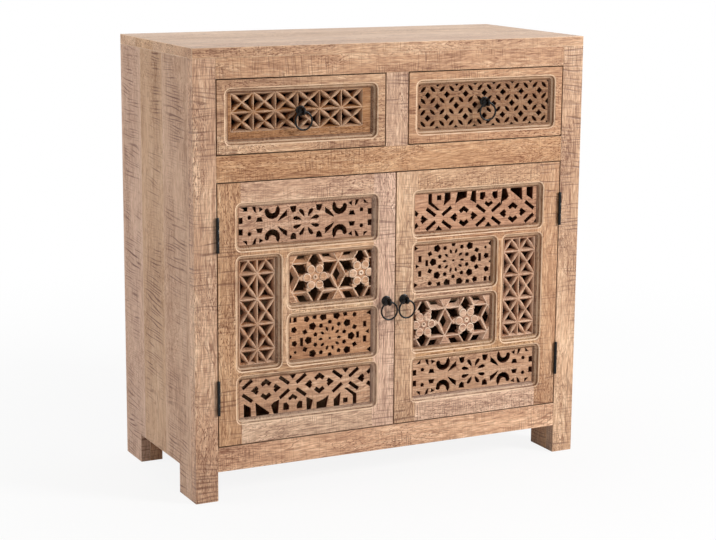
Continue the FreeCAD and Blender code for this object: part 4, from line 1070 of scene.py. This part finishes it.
def dress_hinges(screw_row):
    for node in ("hinge_frame_leaves", "hinge_pins", "left_door_hinge_leaves",
                 "right_door_hinge_leaves"):
        mesh = joined(node)
        soften(mesh, HINGE_EASE, 1, least=60)
        if node != "hinge_pins":
            add_screws(mesh, screw_row, node == "hinge_frame_leaves")
        for face in mesh.faces:
            face.smooth = True
        for edge in mesh.edges:
            edge.smooth = edge.calc_face_angle(0) < math.radians(CREASE)
        finish_piece(f"{node}_iron", mesh, IRON, node)


dress_pulls(make_forged_ring())
dress_hinges(make_screw_row())


# Floor, light and camera

FLOOR = [(-9, -6, 0), (9, -6, 0), (9, 30, 0), (-9, 30, 0)]
# The floor keeps a little shade near the feet and fades to white further off
FLOOR_WHITE = 0.88
SHADE_NEAR, SHADE_FAR = 0.5, 2.2
AMBIENT = 0.2
LENS = 92.73
CAMERA_AT = (-1.7288, -3.4434, 1.1813)
CAMERA_TURN = (78.574, -0.446, -26.702)


def studio_floor():
    data = bpy.data.meshes.new("studio_floor")
    data.from_pydata(FLOOR, [], [(0, 1, 2, 3)])
    made, tree, shader = new_material("white studio floor")
    place = add(tree, "ShaderNodeTexCoord").outputs["Object"]
    paper = noise(tree, place, (3, 3, 3), 2)
    tree.links.new(blend(tree, paper, srgb(243, 243, 243), srgb(246, 246, 246)),
                   shader.inputs["Base Color"])
    shader.inputs["Roughness"].default_value = 0.9
    shader.inputs["Specular IOR Level"].default_value = 0.1
    glow = add(tree, "ShaderNodeEmission", {"Color": (1, 1, 1, 1), "Strength": 1})
    away = add(tree, "ShaderNodeVectorMath", {0: place}, operation="LENGTH").outputs["Value"]
    white = step(tree, away, SHADE_NEAR, SHADE_FAR, FLOOR_WHITE, 1)
    share = calc(tree, "MULTIPLY", seen_directly(tree), white)
    mixed = add(tree, "ShaderNodeMixShader", {0: share, 1: shader.outputs[0], 2: glow.outputs[0]})
    tree.links.new(mixed.outputs[0], tree.nodes["Material Output"].inputs["Surface"])
    data.materials.append(made)
    floor = bpy.data.objects.new("studio_floor", data)
    scene.collection.objects.link(floor)


def soft_box(name, at, towards, size, power):
    data = bpy.data.lights.new(name, "AREA")
    data.shape = "RECTANGLE"
    data.size, data.size_y = size
    data.energy = power
    made = bpy.data.objects.new(name, data)
    made.location = at
    made.rotation_euler = (Vector(towards) - Vector(at)).to_track_quat("-Z", "Y").to_euler()
    scene.collection.objects.link(made)


def light_studio():
    world = bpy.data.worlds.new("white studio")
    scene.world = world
    world.use_nodes = True
    tree = world.node_tree
    strength = add(tree, "ShaderNodeMapRange", {0: seen_directly(tree), 1: 0, 2: 1,
                                                3: AMBIENT, 4: 1}).outputs[0]
    back = tree.nodes["Background"]
    back.inputs["Color"].default_value = (1, 1, 1, 1)
    tree.links.new(strength, back.inputs["Strength"])
    soft_box("front light", (2.8, -2.9, 2.1), (0, 0, 0.5), (1.1, 1.3), 160)
    soft_box("top light", (0.2, 0.5, 3.2), (0, 0.1, 0.9), (2.0, 1.2), 27)
    soft_box("left fill", (-3.2, 0.9, 1.3), (-0.44, 0, 0.45), (1.6, 2.0), 40)


def set_camera():
    data = bpy.data.cameras.new("camera")
    data.sensor_width = 36
    data.lens = LENS
    made = bpy.data.objects.new("camera", data)
    made.location = CAMERA_AT
    made.rotation_euler = [math.radians(angle) for angle in CAMERA_TURN]
    scene.collection.objects.link(made)
    scene.camera = made


studio_floor()
light_studio()
set_camera()
scene.view_settings.view_transform = "Standard"
